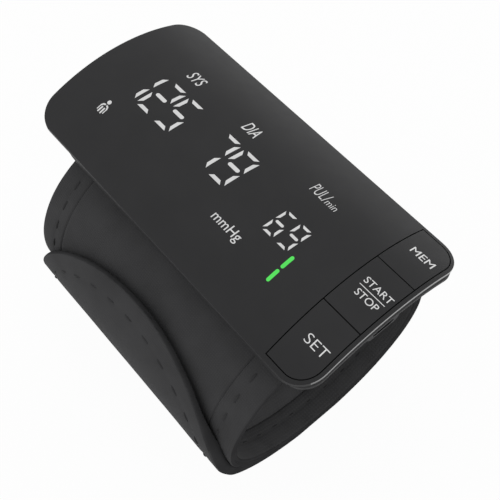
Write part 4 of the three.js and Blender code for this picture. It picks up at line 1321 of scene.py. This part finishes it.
def tail_seam():
    """The seam inside the tail's edge: up one side, round the tip and down the other."""
    seam_side = TAIL_SIDE - STITCH_LINE
    side = []
    for row in range(TAIL_SEAM_ROWS):
        side.append((TAIL_LENGTH + (TAIL_ROUND_DEPTH - TAIL_LENGTH) * row / TAIL_SEAM_ROWS, -seam_side))
    tip = []
    for row in range(2 * TAIL_SEAM_ROWS + 1):
        angle = math.radians(90 * row / TAIL_SEAM_ROWS)
        distance = TAIL_ROUND_DEPTH - (TAIL_ROUND_DEPTH - STITCH_LINE) * math.sin(angle)
        tip.append((distance, -seam_side * math.cos(angle)))
    places = side + tip + [(distance, -across) for distance, across in reversed(side)]
    return [tail_point(distance, across, 1) for distance, across in places], False


tail_stitches = add_piece("tail_stitches", stitches_along([tail_seam()]), THREAD)
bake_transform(tail_stitches)

# %% [markdown]
# ## Hook tape
# The tail holds by a patch of hook tape on its inner face. The tape is a thin woven strip with rows of
# small stiff mushrooms. The strip is a slab bent round the wrap, and a node tree sets one mushroom on each
# point of a grid and turns it along the grid's normal, so all of them point at the wrap.

# %% Hook tree
HOOK_SIDES = 6


def hook_tree():
    inputs = {"Foot": "Float", "Crown": "Float", "Height": "Float", "Hook": "Material"}
    tree, given, end = node_tree("hooks", inputs)
    sizes = {"Radius Top": given["Crown"], "Radius Bottom": given["Foot"], "Depth": given["Height"]}
    hook = add_node(tree, "GeometryNodeMeshCone", sizes, {"Vertices": HOOK_SIDES})
    normal = add_node(tree, "GeometryNodeInputNormal")
    set_on_points(tree, end, given["Hook"], Points=given["Geometry"], Instance=hook.outputs["Mesh"],
                  Rotation=turned_along(tree, normal.outputs["Normal"], "Z"))
    return tree


HOOKS = hook_tree()
print("hook tree of", len(HOOKS.nodes), "nodes")

# %% Hook tape
HOOK_FROM, HOOK_TO = 165.0, 200.0
HOOK_SIDE = 23.0
TAPE_OUTER, TAPE_INNER = 1.0, 0.7
TAPE_EDGE = 1.2
HOOK_PITCH = 1.1
HOOK_SIZES = {"Foot": 0.1 * MM, "Crown": 0.2 * MM, "Height": 0.36 * MM}
TAPE_STEP = 1.0


def tape_point(degrees, across, offset):
    return (across + TAIL_SHIFT, *wrap_point(degrees, offset))


def tape_form():
    """The strip of the hook tape, a thin slab bent round the wrap."""
    corners = [(-HOOK_SIDE, TAPE_OUTER), (HOOK_SIDE, TAPE_OUTER)]
    corners += [(HOOK_SIDE, TAPE_INNER), (-HOOK_SIDE, TAPE_INNER)]
    turns = [HOOK_FROM + TAPE_STEP * step for step in range(int((HOOK_TO - HOOK_FROM) / TAPE_STEP) + 1)]
    rows = [[tape_point(degrees, *corner) for corner in corners] for degrees in turns]
    lengths = [math.radians(degrees - HOOK_FROM) * TAIL_RADIUS for degrees in turns]
    bm = skin(rows, lengths, running_lengths(corners + corners[:1]), False)
    bm.verts.ensure_lookup_table()
    bm.faces.new(bm.verts[:len(corners)])
    bm.faces.new(bm.verts[-len(corners):])
    return metre_mesh(bm)


def hook_grid():
    """A grid of points on the tape's inner face, with its normals towards the wrap."""
    spread = math.radians(HOOK_TO - HOOK_FROM) * TAIL_RADIUS - 2 * TAPE_EDGE
    rows, columns = int(spread / HOOK_PITCH), int(2 * (HOOK_SIDE - TAPE_EDGE) / HOOK_PITCH)
    margin = math.degrees(TAPE_EDGE / TAIL_RADIUS)
    foot = TAPE_INNER - HOOK_SIZES["Height"] / MM / 2
    bm = bmesh.new()
    grid = []
    for row in range(rows + 1):
        degrees = HOOK_FROM + margin + (HOOK_TO - HOOK_FROM - 2 * margin) * row / rows
        line = []
        for column in range(columns + 1):
            across = (HOOK_SIDE - TAPE_EDGE) * (2 * column / columns - 1)
            line.append(bm.verts.new(tape_point(degrees, across, foot)))
        grid.append(line)
    for low, high in zip(grid, grid[1:]):
        for column in range(columns):
            bm.faces.new((low[column], low[column + 1], high[column + 1], high[column]))
    mesh = plain_mesh(bm)
    mesh.transform(Matrix.Scale(MM, 4))
    middle = mesh.polygons[len(mesh.polygons) // 2]
    if middle.normal.dot(Vector((0, CUFF_MIDDLE.y, CUFF_MIDDLE.z)) * MM - middle.center) < 0:
        mesh.flip_normals()
    return mesh


def merged(meshes):
    """Several meshes as one."""
    bm = bmesh.new()
    for mesh in meshes:
        bm.from_mesh(mesh)
    return plain_mesh(bm)


hooks = run_tree(HOOKS, hook_grid(), {**HOOK_SIZES, "Hook": HOOK})
add_piece("hook_tape", merged([tape_form(), hooks]), HOOK, "tail", ["hook_patch"])

# %% [markdown]
# ## Case screws
# Four screws hold the cover from below. Each has a flat head with a cross recess and a plain shank. As all
# four are the same, one node tree builds the screw once, from two cylinders and a cross that is cut out of
# the head, and sets it on four points.


# %% Screw tree
def screw_tree():
    sizes = ("Head Radius", "Head Height", "Shank Radius", "Shank Length", "Recess Width")
    tree, given, end = node_tree("screws", {**{name: "Float" for name in sizes}, "Metal": "Material"})

    def rod(radius, depth, base=None):
        """A cylinder raised by half its depth, and by the depth of what it stands on."""
        form = add_node(tree, "GeometryNodeMeshCylinder", {"Radius": given[radius], "Depth": given[depth]})
        depths = {0: given[depth], 2: given[base]} if base else {0: given[depth]}
        height = add_node(tree, "ShaderNodeMath", depths, {1: 0.5, 2: 0.0}, operation="MULTIPLY_ADD")
        lift = add_node(tree, "ShaderNodeCombineXYZ", {"Z": height.outputs[0]})
        move = add_node(tree, "GeometryNodeTransform",
                        {"Geometry": form.outputs["Mesh"], "Translation": lift.outputs[0]})
        return move.outputs["Geometry"]

    cut = add_node(tree, "GeometryNodeMeshBoolean", {"Mesh 1": rod("Head Radius", "Head Height")},
                   operation="DIFFERENCE")
    for long_axis, short_axis in ("XY", "YX"):
        sides = {long_axis: given["Head Radius"], short_axis: given["Recess Width"]}
        size = add_node(tree, "ShaderNodeCombineXYZ", {**sides, "Z": given["Head Height"]})
        blade = add_node(tree, "GeometryNodeMeshCube", {"Size": size.outputs[0]})
        tree.links.new(blade.outputs["Mesh"], cut.inputs["Mesh 2"])
    whole = add_node(tree, "GeometryNodeJoinGeometry", {"Geometry": cut.outputs["Mesh"]})
    tree.links.new(rod("Shank Radius", "Shank Length", "Head Height"), whole.inputs["Geometry"])
    set_on_points(tree, end, given["Metal"], Points=given["Geometry"], Instance=whole.outputs["Geometry"])
    return tree


SCREWS = screw_tree()
print("screw tree of", len(SCREWS.nodes), "nodes")

# %% Case screws
SCREW_HEAD_HEIGHT = 1.2
SCREW_LENGTH = SCREW_BOXES[0][1].z - SCREW_BOXES[0][0].z
SCREW_SIZES = {
    "Head Radius": 1.7 * MM, "Head Height": SCREW_HEAD_HEIGHT * MM, "Shank Radius": 0.85 * MM,
    "Shank Length": (SCREW_LENGTH - SCREW_HEAD_HEIGHT) * MM, "Recess Width": 0.45 * MM,
}
screw_points = bpy.data.meshes.new("screw points")
screw_feet = [Vector(((low.x + high.x) / 2, (low.y + high.y) / 2, low.z)) * MM for low, high in SCREW_BOXES]
screw_points.from_pydata(screw_feet, [], [])
screws = run_tree(SCREWS, screw_points, {**SCREW_SIZES, "Metal": STEEL})
add_piece("case_screws", screws, STEEL, "head", [f"case_screw_{number}" for number in range(1, 5)])

# %% [markdown]
# ## Display
# The numbers shine through the dark cover: seven-segment digits, a small figure that stands for the user
# and two green bars that show how well the cuff sits. Each mark is a thin tile let into the cover. It is
# drawn flat, cut into strips and laid on the arch as the keys were, and it glows from its own finish. The
# words by the numbers and on the keys are plain function labels.

# %% Tiles on the arch
TILE_RISE = 0.03
TILE_DEPTH = 0.08
TILE_STRIP = 0.5


def tiles(outlines):
    """Thin closed tiles of flat outlines, let into the arched top."""
    bm = bmesh.new()
    for outline in outlines:
        bm.faces.new([bm.verts.new((x, y, 0)) for x, y in outline])
    cut_strips(bm, TILE_STRIP)
    thicken(bm, TILE_DEPTH)
    for vert in bm.verts:
        vert.co.z += arch_height(vert.co.y) + TILE_RISE
    return bm


print("tiles stand", TILE_RISE, "mm out of the cover")

# %% Seven-segment digits
DIGIT_SEGMENTS = {
    "1": "bc", "2": "abged", "5": "afgcd", "6": "afgedc", "7": "abc", "9": "abfgcd",
}
LARGE_DIGIT = {"half": 2.175, "levels": (-5.37, -0.76, 4.03), "stroke": 0.86}
SMALL_DIGIT = {"half": 1.38, "levels": (-5.77, -2.72, 0.42), "stroke": 0.58}
READINGS = (
    ("125", -32.24, 6.23, LARGE_DIGIT), ("79", -6.94, 6.23, LARGE_DIGIT), ("69", 16.35, 4.29, SMALL_DIGIT),
)
DIGIT_SLANT = 0.085
SLANT_FROM = 1.75
UPRIGHT_GAP, UPRIGHT_MITRE, UPRIGHT_STOP = 0.58, 1.2, 0.2
LEVEL_GAP, LEVEL_MITRE = 0.4, 0.93
MIDDLE_REACH, MIDDLE_HALF = 0.55, 0.55


def rounded_bar(x0, y0, x1, y1, half_width):
    """A bar with round ends from one point to another."""
    along = math.degrees(math.atan2(y1 - y0, x1 - x0))
    ends = arc(x1, y1, half_width, along - 90, 180, CORNER_STEPS)
    return ends + arc(x0, y0, half_width, along + 90, 180, CORNER_STEPS)


def level_bar(half, y, outward, stroke):
    """The top or bottom segment: a trapezoid with its longer edge outwards."""
    end, mitre = half - LEVEL_GAP * stroke, LEVEL_MITRE * stroke
    outer, inner = y + outward * stroke / 2, y - outward * stroke / 2
    return [(-end, outer), (end, outer), (end - mitre, inner), (-end + mitre, inner)]


def upright_bar(x, outward, near, far, stroke):
    """A side segment from near the middle to the far level, with its longer edge outwards."""
    away = 1 if far > near else -1
    near += away * UPRIGHT_GAP * stroke
    far -= away * UPRIGHT_STOP * stroke
    mitre = away * UPRIGHT_MITRE * stroke
    outer, inner = x + outward * stroke / 2, x - outward * stroke / 2
    return [(outer, near), (outer, far), (inner, far - mitre), (inner, near + mitre)]


def digit(name, centre, half, levels, stroke):
    bottom, middle, top = levels
    middle_end = MIDDLE_REACH * half
    forms = {
        "a": level_bar(half, top, 1, stroke), "d": level_bar(half, bottom, -1, stroke),
        "b": upright_bar(half, 1, middle, top, stroke), "c": upright_bar(half, 1, middle, bottom, stroke),
        "e": upright_bar(-half, -1, middle, bottom, stroke),
        "f": upright_bar(-half, -1, middle, top, stroke),
        "g": rounded_bar(-middle_end, middle, middle_end, middle, MIDDLE_HALF * stroke),
    }
    outlines = []
    for segment in DIGIT_SEGMENTS[name]:
        outlines.append([(centre + x + DIGIT_SLANT * (y - SLANT_FROM), y) for x, y in forms[segment]])
    return outlines


digit_outlines = []
for number, first_x, pitch, form in READINGS:
    for place, name in enumerate(number):
        digit_outlines += digit(name, first_x + place * pitch, **form)
add_piece("display_digits", metre_mesh(tiles(digit_outlines)), LIT_WHITE, "head")

# %% Green bars and figure
BAR_X = 23.53
BAR_HALF_WIDTH = 0.42
BAR_SPANS = ((-12.78, -9.57), (-9.03, -5.64))
FIGURE_PLACE = Vector((-33.45, -9.95))
FIGURE_HEAD = 0.52
FIGURE_SIDES = 20
FIGURE_LIMBS = (
    ((0.32, -0.95), (0.72, -1.1), 0.2), ((0.72, -1.1), (0.98, -1.6), 0.18),
    ((0.98, -1.6), (1.0, -2.75), 0.12), ((0.36, -1.75), (0.4, -3.0), 0.2),
)


def figure():
    """A small standing figure: a round head, two arms from the shoulders and two legs."""
    x, y = FIGURE_PLACE
    outlines = [circle(x, y, FIGURE_HEAD, FIGURE_SIDES)]
    for (x0, y0), (x1, y1), half_width in FIGURE_LIMBS:
        for side in (-1, 1):
            outlines.append(rounded_bar(x + side * x0, y + y0, x + side * x1, y + y1, half_width))
    return outlines


green_bars = []
for low, high in BAR_SPANS:
    ends = (BAR_X, low + BAR_HALF_WIDTH, BAR_X, high - BAR_HALF_WIDTH)
    green_bars.append(rounded_bar(*ends, BAR_HALF_WIDTH))
add_piece("display_bars", metre_mesh(tiles(green_bars)), LIT_GREEN, "head")
add_piece("display_figure", metre_mesh(tiles(figure())), LIT_WHITE, "head")

# %% Function labels
THIN = 0.012
LABELS = {
    "SYS": (-28.2, -24.05, 7.8, 10.9, 0.12),
    "DIA": (-8.6, -4.4, 7.75, 10.9, 0.12),
    "PUL": (13.2, 16.8, 8.0, 10.9, 0.08, THIN),
    "/": (17.0, 17.6, 7.9, 10.9, 0.1),
    "min": (17.8, 20.7, 7.95, 9.6, 0.08, THIN),
    "mmHg": (4.8, 13.0, -12.5, -9.7, 0.1),
}
LEGENDS = {
    "set": {"SET": (37.3, 42.9, -15.6, -13.6, 0.0, THIN)},
    "start_stop": {"START": (36.35, 43.5, 0.9, 2.5, 0.0), "STOP": (37.0, 42.7, -2.3, -0.7, 0.0)},
    "mem": {"MEM": (36.7, 42.5, 14.1, 16.0, 0.0)},
}
DIVIDER = (36.35, 43.13, 0.05, 0.08)
LETTER_STEPS = 5
LETTER_THICKNESS = 0.01
LETTER_WELD = 0.0005


def lettering(text, left, right, bottom, top, slant, thinning=0.0):
    """Plain letters, fitted into a box on the arched top, as thin tiles."""
    words = bpy.data.curves.new("letters", "FONT")
    words.body = text
    words.extrude = LETTER_THICKNESS
    words.offset = -thinning
    words.resolution_u = LETTER_STEPS
    holder = link("letters", words)
    mesh = evaluated_mesh(holder)
    bpy.data.objects.remove(holder)
    bm = bmesh.new()
    bm.from_mesh(mesh)
    low = Vector([min(vert.co[axis] for vert in bm.verts) for axis in range(2)])
    high = Vector([max(vert.co[axis] for vert in bm.verts) for axis in range(2)])
    for vert in bm.verts:
        up = (vert.co.y - low.y) / (high.y - low.y)
        y = bottom + (top - bottom) * up
        x = left + (right - left) * (vert.co.x - low.x) / (high.x - low.x)
        x += slant * (y - (top + bottom) / 2)
        rise = TILE_RISE if vert.co.z > 0 else TILE_RISE - TILE_DEPTH
        vert.co = (x, y, arch_height(y) + rise)
    return bm


def label_mesh(words, extra=()):
    """Several words as one mesh, with further tiles."""
    meshes = [metre_mesh(lettering(text, *spot), LETTER_WELD) for text, spot in words.items()]
    return merged(meshes + [metre_mesh(form) for form in extra])


def divider():
    x0, x1, y, half = DIVIDER
    return tiles([[(x0, y - half), (x1, y - half), (x1, y + half), (x0, y + half)]])


add_piece("display_labels", label_mesh(LABELS), LIT_WHITE, "head")
for key_name, words in LEGENDS.items():
    extra = [divider()] if key_name == "start_stop" else []
    add_piece(f"{key_name}_legend", label_mesh(words, extra), PRINT, f"{key_name}_key")

# %% [markdown]
# ## Pieces inside
# The pieces inside the head and the cuff are the frame's own solids. They keep their shape and only get a
# finish of their own: metal, board, black plastic, silicone and the rest.


# %% Circuit board and finishes of the pieces inside
TRACK_PITCH, TRACK_DEPTH = 2.2, 0.03
BOARD_ROUGHNESS = 0.4
LACQUER_LOW, LACQUER_HIGH = srgb(30, 96, 60), srgb(22, 70, 44)


def board_finish():
    """Green lacquer over copper tracks."""
    material, shader = new_finish("circuit board", BOARD_ROUGHNESS)
    tree = material.node_tree
    place = add_node(tree, "ShaderNodeTexCoord")
    tracks = add_node(tree, "ShaderNodeTexVoronoi", {"Vector": place.outputs["Object"]},
                      {"Scale": 1 / (TRACK_PITCH * MM)}, distance="MANHATTAN").outputs["Distance"]
    tint(material, shader, tracks, LACQUER_LOW, LACQUER_HIGH)
    raise_grain(material, shader, tracks, TRACK_DEPTH)
    return material


BOARD = board_finish()
INSIDE = {
    "main_board": BOARD, "display_module": DIFFUSER, "battery": POUCH, "air_manifold": SILICONE,
    "sensor_tube": SILICONE, "air_bladder": SILICONE, "cuff_stay": STAY,
}
BLACK_NODES = (
    "set_switch", "start_stop_switch", "mem_switch", "pressure_sensor", "buzzer", "control_chip",
    "pump_head",
)
STEEL_NODES = ("pump_motor", "pump_shaft", "valve_body", "valve_plunger")
INSIDE.update({name: BLACK for name in BLACK_NODES})
INSIDE.update({name: STEEL for name in STEEL_NODES})
INSIDE.update({name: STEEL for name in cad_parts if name.startswith("cuff_screw")})

for name, material in INSIDE.items():
    node_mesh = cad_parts[name].data
    node_mesh.materials.clear()
    node_mesh.materials.append(material)
print("finished inside:", len(INSIDE), "nodes")
